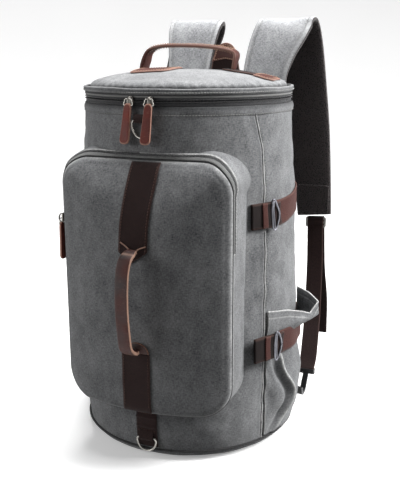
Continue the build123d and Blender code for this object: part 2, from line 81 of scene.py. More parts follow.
BARREL = fitted_radius("back_panel")
BASE_Z = low("back_panel")[2]
RIM_Z = high("back_panel")[2]
RIM_R = float(np.polyval(BARREL, RIM_Z))
ZIP_Z = (high("mouth_zip_teeth")[2] + low("lid_zip_teeth")[2]) / 2
LID_EDGE_Z = high("lid_band")[2]
LID_TOP_Z = high("lid_top")[2]
FOLD_Y = (high("lid_top")[1] + low("lid_rear")[1]) / 2
ZIP_ANGLE = math.degrees(math.acos(-FOLD_Y / RIM_R))
FRONT_SEAM = math.degrees(math.asin(high("front_panel")[0] / high("side_panel_right")[0]))
BACK_SEAM = 180 - math.degrees(math.asin(high("back_panel")[0] / high("side_panel_right")[0]))
POCKET_HALF = high("pocket_front")[0]
POCKET_LOW = low("pocket_front")[2]
POCKET_HIGH = high("pocket_flap")[2]
POCKET_FRONT = low("pocket_front")[1]
POCKET_SIDE = high("pocket_front")[1] - 2.4 * MM
POCKET_TOP = -0.148
POCKET_CORNER = 38 * MM
POCKET_ZIP_END = low("pocket_zip_tape")[2]


def radius(z):
    return np.polyval(BARREL, z)


def around(angle, z, offset=0.0):
    """Points on the barrel at an angle in degrees from the front, lifted by an offset."""
    a = np.radians(angle)
    r = radius(z) + offset
    return np.stack([r * np.sin(a), -r * np.cos(a), z + 0 * a], -1)


def ringed(angle, r, z):
    a = np.radians(angle)
    return np.stack(np.broadcast_arrays(r * np.sin(a), -r * np.cos(a), z), -1)


def full_turn(count):
    return np.linspace(0, 360, count, endpoint=False)


def ring_row(angles, r, z):
    """A level row round the barrel, with the directions out from it."""
    return ringed(angles, r, np.full_like(angles, z)), ringed(angles, 1.0, 0 * angles)


def unrolled(angle, z):
    """Cloth coordinates in metres: the way round the barrel, and the height."""
    return np.stack([np.radians(angle) * RIM_R, z], -1)


def heading(point):
    """Angle of a point round the barrel, from the front, in radians."""
    return math.atan2(point[0], -point[1])


# ---- shared numeric helpers ---------------------------------------------------------------


def wobble(points, scale, seed, octaves=2):
    """Smooth noise from -1 to 1 at each point."""
    shift = Vector((seed * 13.7, seed * 5.1, seed * 9.3))
    flat = points.reshape(-1, 3)
    values = [noise.fractal(Vector(p) * scale + shift, 1.0, 2.0, octaves) for p in flat]
    return np.array(values).reshape(points.shape[:-1])


def creases(points, scale, seed):
    """Ridged noise from 0 to 1, near 1 along thin lines."""
    return 1 - np.clip(np.abs(wobble(points, scale, seed, 1)) * 2.4, 0, 1)


def bell(x, width):
    return np.exp(-(x / width) ** 2)


def step(x, start, end):
    t = np.clip((x - start) / (end - start), 0, 1)
    return t * t * (3 - 2 * t)


def unit(v):
    return v / np.maximum(np.linalg.norm(v, axis=-1, keepdims=True), 1e-12)


def smooth_path(points, count):
    """A Catmull-Rom line through points, with evenly spread samples."""
    p = np.array(points, float)
    p = np.vstack([2 * p[0] - p[1], p, 2 * p[-1] - p[-2]])
    samples = []
    for i in range(1, len(p) - 2):
        t = np.linspace(0, 1, 16, endpoint=False)[:, None]
        a, b, c, d = p[i - 1], p[i], p[i + 1], p[i + 2]
        line = 2 * b + (c - a) * t + (2 * a - 5 * b + 4 * c - d) * t**2
        samples.append((line + (3 * b - 3 * c + d - a) * t**3) / 2)
    samples.append(p[-2:-1])
    return resample(np.vstack(samples), count)


def run_along(line):
    """Distance from a line's start to each of its points."""
    return np.r_[0, np.cumsum(np.linalg.norm(np.diff(line, axis=0), axis=1))]


def resample(line, count, closed=False):
    """The same line with evenly spread samples; what follows x, y, z is carried along."""
    if closed:
        line = np.vstack([line, line[:1]])
    run = run_along(line[:, :3])
    at = np.linspace(0, run[-1], count, endpoint=not closed)
    return np.stack([np.interp(at, run, line[:, k]) for k in range(line.shape[1])], 1)


def path_length(line):
    return float(np.linalg.norm(np.diff(line, axis=0), axis=1).sum())


# ---- mesh builders --------------------------------------------------------------------------


def finish_object(name, vertices, faces, uvs=None, shades=None):
    """A smooth mesh in the scene; shades are grey values that its material reads."""
    mesh = bpy.data.meshes.new(name)
    mesh.from_pydata([tuple(v) for v in vertices], [], faces)
    if uvs is not None:
        layer = mesh.uv_layers.new(name="metres")
        order = np.zeros(len(mesh.loops), np.int32)
        mesh.loops.foreach_get("vertex_index", order)
        layer.data.foreach_set("uv", np.asarray(uvs, np.float32)[order].ravel())
    for key, values in (shades or {}).items():
        layer = mesh.attributes.new(key, "FLOAT", "POINT")
        layer.data.foreach_set("value", np.asarray(values, np.float32).ravel())
    mesh.polygons.foreach_set("use_smooth", [True] * len(mesh.polygons))
    piece = bpy.data.objects.new(name, mesh)
    bpy.context.scene.collection.objects.link(piece)
    return piece


def grid_faces(rows, columns, wrap):
    faces = []
    across = columns if wrap else columns - 1
    for i in range(rows - 1):
        for j in range(across):
            k = (j + 1) % columns
            a, b = i * columns, (i + 1) * columns
            faces.append((a + j, a + k, b + k, b + j))
    return faces


def grid(name, points, uv=None, wrap=False, **shades):
    """A sheet from points[row][column]."""
    rows, columns = points.shape[:2]
    if uv is None:
        across = np.linalg.norm(np.diff(points, axis=1), axis=2).mean(0)
        along = np.linalg.norm(np.diff(points, axis=0), axis=2).mean(1)
        u, v = np.meshgrid(np.r_[0, np.cumsum(across)], np.r_[0, np.cumsum(along)])
        uv = np.stack([u, v], -1)
    flat = {k: np.broadcast_to(v, (rows, columns)).reshape(-1) for k, v in shades.items()}
    faces = grid_faces(rows, columns, wrap)
    return finish_object(name, points.reshape(-1, 3), faces, uv.reshape(-1, 2), flat)


def loft(name, origins, xs, ys, section, closed=False, **shades):
    """A closed section, (k, 2) or (n, k, 2), carried along a line of frames."""
    n = len(origins)
    section = np.broadcast_to(section, (n,) + np.shape(section)[-2:])
    k = section.shape[1]
    points = origins[:, None] + section[..., :1] * xs[:, None] + section[..., 1:] * ys[:, None]
    u, v = np.meshgrid(run_along(section[n // 2]), run_along(origins))
    faces = []
    for i in range(n if closed else n - 1):
        a, b = i * k, ((i + 1) % n) * k
        for j in range(k):
            faces.append((a + j, a + (j + 1) % k, b + (j + 1) % k, b + j))
    if not closed:
        faces.append(tuple(reversed(range(k))))
        faces.append(tuple(range((n - 1) * k, n * k)))
    flat = {key: np.broadcast_to(value, (n, k)).reshape(-1) for key, value in shades.items()}
    uv = np.stack([u, v], -1).reshape(-1, 2)
    return finish_object(name, points.reshape(-1, 3), faces, uv, flat)


def tangents(line, closed):
    if closed:
        return unit(np.roll(line, -1, 0) - np.roll(line, 1, 0))
    return unit(np.gradient(line, axis=0))


def frames(line, side, closed=False):
    """Section axes along a line: x stays as near to `side` as it can."""
    t = tangents(line, closed)
    side = np.broadcast_to(np.asarray(side, float), line.shape)
    x = unit(side - (side * t).sum(1, keepdims=True) * t)
    return x, np.cross(t, x)


def oval(width, thickness, count, power):
    """A flat rounded section: power 1 is an ellipse, lower is boxier."""
    a = np.linspace(0, 2 * np.pi, count, endpoint=False)
    c, s = np.cos(a), np.sin(a)
    x = np.sign(c) * np.abs(c) ** power * width / 2
    y = np.sign(s) * np.abs(s) ** power * thickness / 2
    return np.stack([x, y], 1)


def disc(diameter, count):
    return oval(diameter, diameter, count, 1.0)


def cord_of(name, line, diameter, side=(0, 0, 1), closed=False, count=10):
    x, y = frames(line, side, closed)
    return loft(name, line, x, y, disc(diameter, count), closed)


def join(name, pieces):
    """Join pieces into one object that keeps every piece's material."""
    bpy.ops.object.select_all(action="DESELECT")
    for piece in pieces:
        piece.select_set(True)
    bpy.context.view_layer.objects.active = pieces[0]
    bpy.ops.object.join()
    pieces[0].name = name
    return pieces[0]


def thicken(piece, thickness):
    """Give a sheet its thickness, inwards."""
    m = piece.modifiers.new("cloth", "SOLIDIFY")
    m.thickness = thickness
    m.offset = -1
    m.use_rim = True
    return piece


def turned(piece):
    """Turn a sheet's faces over."""
    piece.data.flip_normals()
    return piece


def face_outward(piece):
    """Turn the faces of a closed mesh outward."""
    shell = bmesh.new()
    shell.from_mesh(piece.data)
    if all(edge.is_manifold for edge in shell.edges):
        bmesh.ops.recalc_face_normals(shell, faces=shell.faces)
        shell.to_mesh(piece.data)
    shell.free()


def finish(piece, slot, material):
    piece.data.materials.append(material)


def dress(piece, body, slot, material, replaces=()):
    """Material and body of a finished piece; the slot is not used."""
    if not piece.modifiers:
        face_outward(piece)
    finish(piece, slot, material)
    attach(piece, body)
    if replaces:
        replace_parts(piece, *replaces)
    return piece


def dress_soft(piece, slot, material, replaces):
    """Material for a piece between the bag and a moving body, with its transform baked into its mesh; the
    slot is not used.
    """
    finish(piece, slot, material)
    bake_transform(piece)
    if replaces:
        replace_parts(piece, *replaces)
    return piece


def mirrored(piece, name):
    """A copy on the other side of the bag."""
    twin = piece.copy()
    twin.data = piece.data.copy()
    twin.name = name
    twin.data.transform(Matrix.Scale(-1, 4, (1, 0, 0)))
    twin.data.flip_normals()
    bpy.context.scene.collection.objects.link(twin)
    return twin


# ---- small parts repeated along a line ------------------------------------------------------


def bead(length, height, width, sink=0.15 * MM):
    """A small rounded closed bar in (along, up, side) metres, and its faces."""
    stations = ((-0.5, 0.0, 0.6), (-0.28, 1.0, 1.0), (0.28, 1.0, 1.0), (0.5, 0.0, 0.6))
    points, faces = [], []
    for along, lift, wide in stations:
        half = wide * width / 2
        points += [(along * length, -sink, -half), (along * length, lift * height, 0)]
        points += [(along * length, -sink, half)]
    for i in range(3):
        for j in range(3):
            k = (j + 1) % 3
            faces.append((i * 3 + j, i * 3 + k, i * 3 + 3 + k, i * 3 + 3 + j))
    return np.array(points), faces + [(2, 1, 0), (9, 10, 11)]


def repeat_along(name, rows, pitch, shape):
    """Copies of a small shape along lines; a row is (line, normals)."""
    template, faces = shape
    vertices, polygons = [], []
    for line, normals in rows:
        count = max(int(path_length(line) / pitch), 2)
        spots = resample(np.hstack([line, np.broadcast_to(normals, line.shape)]), count + 1)
        halfway = (spots[1:] + spots[:-1]) / 2
        at, up = halfway[:, :3], unit(halfway[:, 3:])
        t = unit(np.diff(spots[:, :3], axis=0))
        side = unit(np.cross(t, up))
        up = np.cross(side, t)
        basis = np.stack([t, up, side], 1)
        for centre, axes in zip(at, basis):
            start = len(vertices)
            vertices.extend(centre + template @ axes)
            polygons.extend([tuple(start + i for i in f) for f in faces])
    return finish_object(name, vertices, polygons)


STITCH = bead(2.6 * MM, 0.45 * MM, 0.8 * MM)
STITCH_PITCH = 3.6 * MM
COIL_PITCH = 1.7 * MM


def stitching(name, rows, body, slot, thread):
    piece = repeat_along(name, rows, STITCH_PITCH, STITCH)
    return dress(piece, body, slot, thread)


# ---- materials -------------------------------------------------------------------------------


def rgb(red, green, blue):
    """A colour given from 0 to 255, as the shader's linear colour."""
    return tuple((c / 255) ** 2.2 for c in (red, green, blue)) + (1.0,)


class Recipe:
    """A Principled material and short calls that add its nodes."""

    def __init__(self, name, roughness, **fixed):
        self.material = bpy.data.materials.new(name)
        self.material.use_nodes = True
        self.tree = self.material.node_tree
        self.shader = self.tree.nodes["Principled BSDF"]
        self.set(Roughness=roughness, **fixed)

    def set(self, **sockets):
        for key, value in sockets.items():
            self.join(value, self.shader.inputs[key.replace("_", " ")])

    def join(self, value, socket):
        if isinstance(value, bpy.types.NodeSocket):
            self.tree.links.new(value, socket)
        else:
            socket.default_value = value

    def add(self, kind, sockets, out=0, **settings):
        node = self.tree.nodes.new("ShaderNode" + kind)
        for key, value in settings.items():
            setattr(node, key, value)
        for key, value in sockets.items():
            self.join(value, node.inputs[key])
        return node.outputs[out]

    def place(self, scale, source):
        scale = scale if isinstance(scale, tuple) else (scale,) * 3
        where = self.add("TexCoord", {}, source)
        return self.add("Mapping", {"Vector": where, "Scale": scale})

    def noise(self, scale, source, detail):
        where = self.place(scale, source)
        return self.add("TexNoise", {"Vector": where, "Scale": 1.0, "Detail": detail})

    def cells(self, scale):
        where = self.place(scale, "Object")
        return self.add("TexVoronoi", {"Vector": where, "Scale": 1.0}, "Distance")

    def math(self, operation, first, second=0.0):
        return self.add("Math", {0: first, 1: second}, operation=operation)

    def plus(self, first, second):
        return self.math("ADD", first, second)

    def times(self, first, second):
        return self.math("MULTIPLY", first, second)

    def span(self, value, low, high, to_low=0.0, to_high=1.0):
        return self.add("MapRange", {0: value, 1: low, 2: high, 3: to_low, 4: to_high})

    def mix(self, share, first, second):
        return self.add("Mix", {0: share, 6: first, 7: second}, 2, data_type="RGBA")

    def shade(self, name):
        return self.add("Attribute", {}, "Fac", attribute_name=name)

    def waves(self, axis, pitch):
        """Ribs across an axis of the cloth's own coordinates, from -1 to 1."""
        where = self.add("TexCoord", {}, "UV")
        part = self.add("SeparateXYZ", {"Vector": where}, axis)
        return self.math("SINE", self.math("MULTIPLY", part, 2 * math.pi / pitch))

    def bump(self, height, distance, strength):
        bumped = {"Height": height, "Distance": distance, "Strength": strength}
        self.set(Normal=self.add("Bump", bumped))
        return self.material


def canvas(name, dark, light, pale):
    """Heathered heavy canvas, paler where its edges are worn, and darkened where shade is painted on."""
    r = Recipe(name, 0.92, Sheen_Weight=0.18, Sheen_Roughness=0.5, Specular_IOR_Level=0.25)
    warp = r.noise((1150, 240, 240), "UV", 3)
    weft = r.noise((240, 1150, 1150), "UV", 3)
    yarn = r.span(r.plus(warp, weft), 0.6, 1.4)
    slub = r.span(r.noise(420, "UV", 1), 0.2, 0.8)
    thread = r.plus(r.times(yarn, 0.7), r.times(slub, 0.3))
    cloud = r.span(r.noise(11, "Object", 4), 0.3, 0.7, -0.13, 0.13)
    mottle = r.span(r.noise((75, 75, 48), "Object", 5), 0.32, 0.68, -0.11, 0.11)
    colour = r.mix(r.plus(thread, r.plus(cloud, mottle)), rgb(*dark), rgb(*light))
    uneven = r.span(r.noise(300, "Object", 2), 0.3, 0.6, 0.35, 1.0)
    colour = r.mix(r.times(r.shade("wear"), uneven), colour, rgb(*pale))
    # painted shade: where the shade attribute is high the cloth goes towards near black (34, 34, 36), for
    # grooves, folds, recesses and places under overhangs
    colour = r.mix(r.times(r.shade("dirt"), 0.75), colour, rgb(34, 34, 36))
    r.set(Base_Color=colour)
    weave = r.times(r.waves(0, 1.1 * MM), r.waves(1, 1.1 * MM))
    return r.bump(r.plus(r.times(weave, 0.35), thread), 0.3 * MM, 0.55)


def webbing(name, dark, light, sheen=0.06):
    """Ribbed cotton webbing, a little paler where it is worn."""
    r = Recipe(name, 0.85, Sheen_Weight=sheen, Specular_IOR_Level=0.2)
    pattern = r.span(r.times(r.waves(1, 2.2 * MM), r.waves(0, 2.6 * MM)), -1, 1)
    fibre = r.noise((900, 300, 300), "UV", 3)
    share = r.plus(r.times(pattern, 0.4), r.times(r.span(fibre, 0.3, 0.7), 0.6))
    colour = r.mix(share, rgb(*dark), rgb(*light))
    colour = r.mix(r.times(r.shade("wear"), 0.6), colour, rgb(112, 88, 82))
    r.set(Base_Color=colour)
    return r.bump(r.plus(pattern, r.times(fibre, 0.5)), 0.4 * MM, 0.7)


def leather(name, dark, light, edge, scuffed=0.16):
    """Oiled leather with a pebbled grain, creases and pale rubbed edges."""
    r = Recipe(name, 0.5, Specular_IOR_Level=0.3, Coat_Weight=0.04, Coat_Roughness=0.35)
    grain = r.cells(1300)
    patch = r.span(r.noise(38, "Object", 4), 0.3, 0.7)
    colour = r.mix(patch, rgb(*dark), rgb(*light))
    scuff = r.span(r.noise((160, 160, 420), "Object", 4), 0.56, 0.74, 0.0, scuffed)
    colour = r.mix(scuff, colour, rgb(*edge))
    colour = r.mix(r.times(r.shade("wear"), 0.7), colour, rgb(*edge))
    r.set(Base_Color=colour, Roughness=r.span(patch, 0, 1, 0.46, 0.66))
    crease = r.noise((90, 90, 260), "Object", 4)
    return r.bump(r.plus(r.times(grain, -0.6), crease), 0.45 * MM, 0.6)


def metal(name, colour, rough):
    """Plated zinc with faint hand marks."""
    r = Recipe(name, rough, Metallic=1.0)
    smear = r.span(r.noise(60, "Object", 4), 0.3, 0.7)
    r.set(Base_Color=r.mix(smear, rgb(*[int(c * 0.8) for c in colour]), rgb(*colour)))
    r.set(Roughness=r.span(r.noise((900, 900, 120), "Object", 3), 0.3, 0.7, rough * 0.7, rough * 1.5))
    return r.bump(r.noise(700, "Object", 2), 0.05 * MM, 0.3)


def spacer_mesh(name):
    """Black air mesh: rows of small open cells over foam."""
    r = Recipe(name, 0.85, Sheen_Weight=0.25, Specular_IOR_Level=0.25)
    cell = r.span(r.cells(360), 0.2, 0.55)
    fuzz = r.noise(900, "Object", 2)
    colour = r.mix(cell, rgb(14, 12, 12), rgb(66, 60, 60))
    r.set(Base_Color=r.mix(r.times(fuzz, 0.3), colour, rgb(20, 18, 18)))
    return r.bump(cell, 0.9 * MM, 0.9)


def plain_weave(name, dark, light, pitch, rough=0.75, sheen=0.1):
    """Fine woven tape or nylon."""
    r = Recipe(name, rough, Sheen_Weight=sheen, Specular_IOR_Level=0.35)
    pattern = r.times(r.waves(0, pitch), r.waves(1, pitch))
    fibre = r.span(r.noise(500, "Object", 3), 0.3, 0.7)
    share = r.plus(r.span(pattern, -1, 1, 0, 0.5), r.times(fibre, 0.5))
    colour = r.mix(share, rgb(*dark), rgb(*light))
    colour = r.mix(r.shade("wear"), colour, rgb(150, 150, 148))
    r.set(Base_Color=colour)
    return r.bump(r.plus(pattern, fibre), 0.25 * MM, 0.6)


def moulded(name, dark, light, rough, grain=700):
    """Moulded plastic or pressed fibre with a fine spark texture."""
    r = Recipe(name, rough, Specular_IOR_Level=0.4)
    speckle = r.span(r.noise(grain, "Object", 3), 0.3, 0.7)
    r.set(Base_Color=r.mix(speckle, rgb(*dark), rgb(*light)))
    r.set(Roughness=r.span(r.noise(40, "Object", 3), 0.3, 0.7, rough * 0.8, rough * 1.2))
    return r.bump(speckle, 0.12 * MM, 0.5)


CANVAS = canvas("canvas", (58, 59, 62), (150, 151, 152), (205, 205, 203))
# The shoulder straps' cloth is the same canvas, given lighter colours as painted light on their upturned
# faces.
STRAP_CANVAS_PAINTED_LIT = canvas("strap_canvas", (92, 93, 96), (196, 197, 199), (215, 215, 214))
WEBBING = webbing("dark_webbing", (19, 12, 12), (48, 32, 30))
SIDE_WEBBING = webbing("side_webbing", (44, 23, 21), (84, 49, 43))
LOOP_WEBBING = webbing("loop_webbing", (9, 6, 6), (30, 19, 17), sheen=0.0)
LEATHER = leather("leather", (42, 16, 11), (80, 36, 26), (150, 116, 104))
EDGE_LEATHER = leather("leather_edge", (96, 70, 58), (150, 118, 102), (190, 160, 142))
GRIP_LEATHER = leather("grip_leather", (28, 8, 5), (62, 24, 15), (190, 152, 132), 0.06)
PULL_LEATHER = leather("pull_leather", (64, 19, 12), (112, 42, 28), (196, 152, 134), 0.08)
DARK_LEATHER = leather("dark_leather", (22, 10, 8), (50, 24, 17), (110, 78, 64), 0.1)
NICKEL = metal("nickel", (172, 169, 163), 0.28)
DARK_METAL = metal("slider_metal", (120, 117, 112), 0.34)
GUNMETAL = metal("buckle_gunmetal", (112, 112, 118), 0.36)
MESH = spacer_mesh("air_mesh")
ZIP_TAPE = plain_weave("zip_tape", (24, 24, 26), (58, 58, 60), 0.9 * MM)
POCKET_TAPE = plain_weave("pocket_zip_tape", (78, 79, 80), (128, 129, 128), 0.9 * MM)
# The coil's own near black is raised to mid grey here: a painted highlight along the zip's line.
COIL_PAINTED_HIGHLIGHT = moulded("zip_coil", (46, 46, 47), (92, 92, 93), 0.4)
PLASTIC = moulded("hook_plastic", (10, 10, 11), (26, 26, 28), 0.42)
FIBREBOARD = moulded("fibreboard", (28, 26, 24), (60, 56, 52), 0.85, 420)
LINING = plain_weave("lining_nylon", (26, 27, 30), (52, 54, 58), 1.3 * MM, 0.5, 0.2)
PIPING = plain_weave("piping", (22, 22, 23), (52, 52, 53), 1.2 * MM)
THREAD = moulded("grey_thread", (120, 121, 120), (176, 176, 172), 0.8, 2500)
BROWN_THREAD = moulded("brown_thread", (58, 40, 34), (96, 70, 60), 0.8, 2500)
BLACK_THREAD = moulded("black_thread", (30, 28, 28), (62, 58, 58), 0.8, 2500)
EDGE_THREAD = moulded("leather_thread", (150, 112, 88), (206, 172, 148), 0.8, 2500)


# ---- camera, light and floor ------------------------------------------------------------------


def make_stage():
    """A white floor that curls up into a wall all round."""
    level = [(0, 0), (0.5, 0), (1.0, 0), (1.5, 0.0)]
    curl = [(1.9, 0.03), (2.3, 0.16), (2.6, 0.42), (2.8, 0.85), (2.86, 1.4)]
    line = smooth_path([(r, 0, z) for r, z in level + curl], 40)
    angles = np.linspace(0, 2 * np.pi, 97)[:-1]
    r, z = line[:, :1], line[:, 2:]
    points = np.stack([r * np.cos(angles), r * np.sin(angles), z + 0 * angles], -1)
    floor = grid("floor", points, wrap=True)
    r = Recipe("studio_floor", 0.7)
    r.set(Base_Color=r.mix(r.noise(3, "Object", 3), rgb(240, 240, 240), rgb(247, 247, 247)))
    r.set(Emission_Color=rgb(255, 255, 255), Emission_Strength=0.25)
    floor.data.materials.append(r.material)
    floor.visible_diffuse = False


def softbox(name, place, aim, size, power):
    light = bpy.data.lights.new(name, "AREA")
    light.shape = "RECTANGLE"
    light.size, light.size_y = size
    light.energy = power
    lamp = bpy.data.objects.new(name, light)
    lamp.location = place
    lamp.rotation_euler = (Vector(aim) - Vector(place)).to_track_quat("-Z", "Y").to_euler()
    bpy.context.scene.collection.objects.link(lamp)


def make_light():
    aim = (0, 0, 0.27)
    softbox("key", (1.55, 0.5, 1.2), aim, (0.8, 1.1), 68)
    softbox("top", (-0.1, 0.25, 2.0), aim, (0.9, 0.9), 52)
    softbox("front_fill", (-1.6, -1.4, 1.0), aim, (1.2, 1.2), 20)
    world = bpy.data.worlds.new("studio")
    world.use_nodes = True
    sky = world.node_tree.nodes["Background"].inputs
    sky["Color"].default_value = (1, 1, 1, 1)
    sky["Strength"].default_value = 0.16
    bpy.context.scene.world = world
    bpy.context.scene.view_settings.view_transform = "Standard"


def make_camera():
    heading, down, roll = 0.3769, 0.2354, -0.0025
    right = Vector((math.cos(heading), math.sin(heading), 0))
    ahead = Vector((-math.sin(heading), math.cos(heading), 0)) * math.cos(down)
    ahead.z = -math.sin(down)
    facing = Matrix((right, right.cross(ahead), -ahead)).transposed() @ Matrix.Rotation(roll, 3, "Z")
    camera = bpy.data.cameras.new("camera")
    camera.sensor_fit = "VERTICAL"
    camera.sensor_height = 36
    camera.lens = 57.83
    eye = bpy.data.objects.new("camera", camera)
    eye.matrix_world = Matrix.Translation((0.4027, -0.9780, 0.5134)) @ facing.to_4x4()
    bpy.context.scene.collection.objects.link(eye)
    bpy.context.scene.camera = eye


# ---- barrel --------------------------------------------------------------------------------

UPPER_STRAP_Z = 0.318
LOWER_STRAP_Z = 0.145
BASE_FOOT_R = 0.131


def slack(angle, z):
    """How far the loose canvas stands off the barrel's smooth shape."""
    p = around(angle, z)
    folds = 1.7 * MM * wobble(p * (1, 1, 0.6), 12, 1) + 0.7 * MM * wobble(p, 34, 2)
    crumple = -2.0 * MM * creases(p * (1, 1, 1.2), 15, 3) * step(np.abs(angle), 40, 66)
    sag = 1.7 * MM * bell(z - 40 * MM, 26 * MM) * (1 + wobble(p, 22, 4))
    straps = bell(z - UPPER_STRAP_Z, 15 * MM) + bell(z - LOWER_STRAP_Z, 15 * MM)
    pinch = -1.1 * MM * straps * step(np.abs(angle), 56, 70) * (1 - step(np.abs(angle), 118, 140))
    hold = step(z, BASE_Z, BASE_Z + 14 * MM) * (1 - step(z, RIM_Z - 26 * MM, RIM_Z - 8 * MM))
    return (folds + crumple + sag + pinch) * hold


def on_skin(angle, z, offset):
    """Points on the loose canvas, lifted by an offset."""
    return around(angle, z, slack(angle, z) + offset)


def seam_angle(angle, z):
    """The front seams lean towards the front just below the mouth."""
    lean = 4.5 * step(z, RIM_Z - 62 * MM, RIM_Z) * (np.abs(angle) == FRONT_SEAM)
    return angle - np.sign(angle) * lean


def make_panel(name, node, low_angle, high_angle, ridged):
    """A panel of the barrel; its grid is finer along the seams, where the cloth is ridged and worn."""
    columns = int((high_angle - low_angle) * 0.9) + 1
    near_edge = np.linspace(0, 5 * MM / math.radians(high_angle - low_angle) / RIM_R, 8)[:-1]
    margin = near_edge[-1] * 8 / 7
    spread = np.r_[near_edge, np.linspace(margin, 1 - margin, columns), 1 - near_edge[::-1]]
    share, z = np.meshgrid(spread, np.linspace(BASE_Z - MM, RIM_Z, 150))
    first, last = seam_angle(low_angle, z), seam_angle(high_angle, z)
    a = first + (last - first) * share
    edge = np.radians(np.minimum(a - first, last - a)) * RIM_R
    ridge = ridged * (0.9 * MM * bell(edge - 1.2 * MM, 1.4 * MM)) - 0.5 * MM * bell(edge, 0.8 * MM)
    pucker = 0.35 * MM * np.sin(z / (4.2 * MM)) * bell(edge, 9 * MM)
    points = on_skin(a, z, ridge + pucker)
    wear = ridged * bell(edge - 0.9 * MM, 0.9 * MM) * (0.9 + 0.5 * wobble(points, 60, 5))
    # painted shade in a thin line 4.5 mm in from each seam
    dirt = 0.25 * bell(edge - 4.5 * MM, 1.6 * MM)
    piece = thicken(grid(name, points, unrolled(a, z), wear=wear, dirt=dirt), 1.6 * MM)
    dress(piece, "bag", "canvas", CANVAS, replaces=[node])


def seam_row(angle, shift):
    """A row of stitches beside a seam."""
    z = np.linspace(BASE_Z + 6 * MM, RIM_Z - 14 * MM, 160)
    a = seam_angle(angle, z) + math.degrees(shift / RIM_R)
    return on_skin(a, z, 0.35 * MM), around(a, z, 1) - around(a, z)


def make_barrel():
    make_panel("front_canvas", "front_panel", -FRONT_SEAM, FRONT_SEAM, 0.15)
    make_panel("side_canvas_right", "side_panel_right", FRONT_SEAM, BACK_SEAM, 1.0)
    make_panel("side_canvas_left", "side_panel_left", -BACK_SEAM, -FRONT_SEAM, 1.0)
    make_panel("back_canvas", "back_panel", BACK_SEAM, 360 - BACK_SEAM, 0.3)
    rows = [seam_row(sign * seam, sign * 4.2 * MM)
            for sign in (1, -1) for seam in (FRONT_SEAM, BACK_SEAM)]
    stitching("seam_stitching", rows, "bag", "canvas", THREAD)


def make_base():
    """The base cloth turns up over the stuffed edge to the piping."""
    turn_up = np.linspace(0, np.pi / 2, 14)
    edge_r = BASE_FOOT_R + (radius(BASE_Z) - BASE_FOOT_R) * np.sin(turn_up)
    edge_z = BASE_Z * (1 - np.cos(turn_up))
    r = np.r_[np.linspace(2 * MM, BASE_FOOT_R, 16)[:-1], edge_r][:, None]
    z = np.r_[np.zeros(15), edge_z][:, None]
    a = full_turn(144)[None, :]
    lift = step(r, BASE_FOOT_R, BASE_FOOT_R + 8 * MM) * (1 - step(z, BASE_Z * 0.6, BASE_Z))
    shove = 1.4 * MM * wobble(ringed(a, r, z), 30, 6) * lift
    points = ringed(a, r + shove, z + 0.2 * MM * (1 - step(z, 4 * MM, BASE_Z)))
    piece = grid("base_cloth", points, points[..., :2], wrap=True)
    piece.modifiers.new("smooth", "SUBSURF").render_levels = 1
    dress(thicken(piece, 1.4 * MM), "bag", "canvas", CANVAS, replaces=["base_panel"])
    a = full_turn(240)
    ripple = 0.4 * MM * wobble(ringed(a, 0.146, BASE_Z), 20, 7)
    path = ringed(a, radius(BASE_Z) + 1.4 * MM + ripple, BASE_Z)
    cord = cord_of("base_edge_piping", path, 3.0 * MM, closed=True)
    dress(cord, "bag", "piping", PIPING, replaces=["base_piping"])


# ---- mouth and lid ---------------------------------------------------------------------------


def open_arc(count):
    """Angles along the part of the mouth that the zip goes round."""
    return np.linspace(-ZIP_ANGLE, ZIP_ANGLE, count)


def hoop(name, angles, profile, wave=0.0, seed=0, wrap=False, **shades):
    """A strip round the barrel's mouth; its profile is (radius, z) points."""
    profile = np.array(profile, float)
    a = angles[None, :]
    base = ringed(a, profile[:, :1], profile[:, 1:])
    ripple = wave * wobble(base * (1, 1, 0.3), 16, seed)
    points = ringed(a, profile[:, :1] + ripple, profile[:, 1:] + 0.6 * ripple)
    uv = unrolled(*np.broadcast_arrays(a, run_along(profile)[:, None]))
    shades = {k: np.array(v, float)[:, None] + 0 * a for k, v in shades.items()}
    return grid(name, points, uv, wrap, **shades)


def mouth_profile():
    """The mouth's folded band in section: out over its face and back in at both edges."""
    low_z, high_z, near, far = RIM_Z - 12 * MM, RIM_Z + 0.5 * MM, -1.4 * MM, 1.7 * MM
    t = np.linspace(0, 1, 9)
    face = far + 0.6 * MM * np.sin(np.pi * t)
    face = near + (face - near) * np.sin(np.pi * np.clip(t, 0.04, 0.96)) ** 0.22
    return np.stack([RIM_R + face, low_z + (high_z - low_z) * t], 1)


def binding_profile(low_z, high_z):
    """The lid's binding in section: up its face and over towards the crown."""
    rise = [(-0.6, 0), (0.9, 0.4), (1.9, 2), (2.0, 4), (1.6, 6), (1.9, 8.5)]
    over = [(1.7, 10.6), (1.0, 12.2), (-0.4, 12.9), (-1.8, 12.2), (-2.4, 10.0)]
    scale = (high_z - low_z) / (12.9 * MM)
    return [(RIM_R + out * MM, low_z + up * MM * scale) for out, up in rise + over]


def make_zip_row(name, angles, body, side, node):
    """Half of the mouth's coil: side is -1 for the row on the bag, 1 for the row on the lid."""
    row = ring_row(angles, RIM_R - 0.5 * MM, ZIP_Z + side * 1.5 * MM)
    coil = repeat_along(name, [row], COIL_PITCH, bead(1.25 * MM, 1.5 * MM, 2.7 * MM, 0.8 * MM))
    dress(coil, body, "zip_coil", COIL_PAINTED_HIGHLIGHT, replaces=[node])


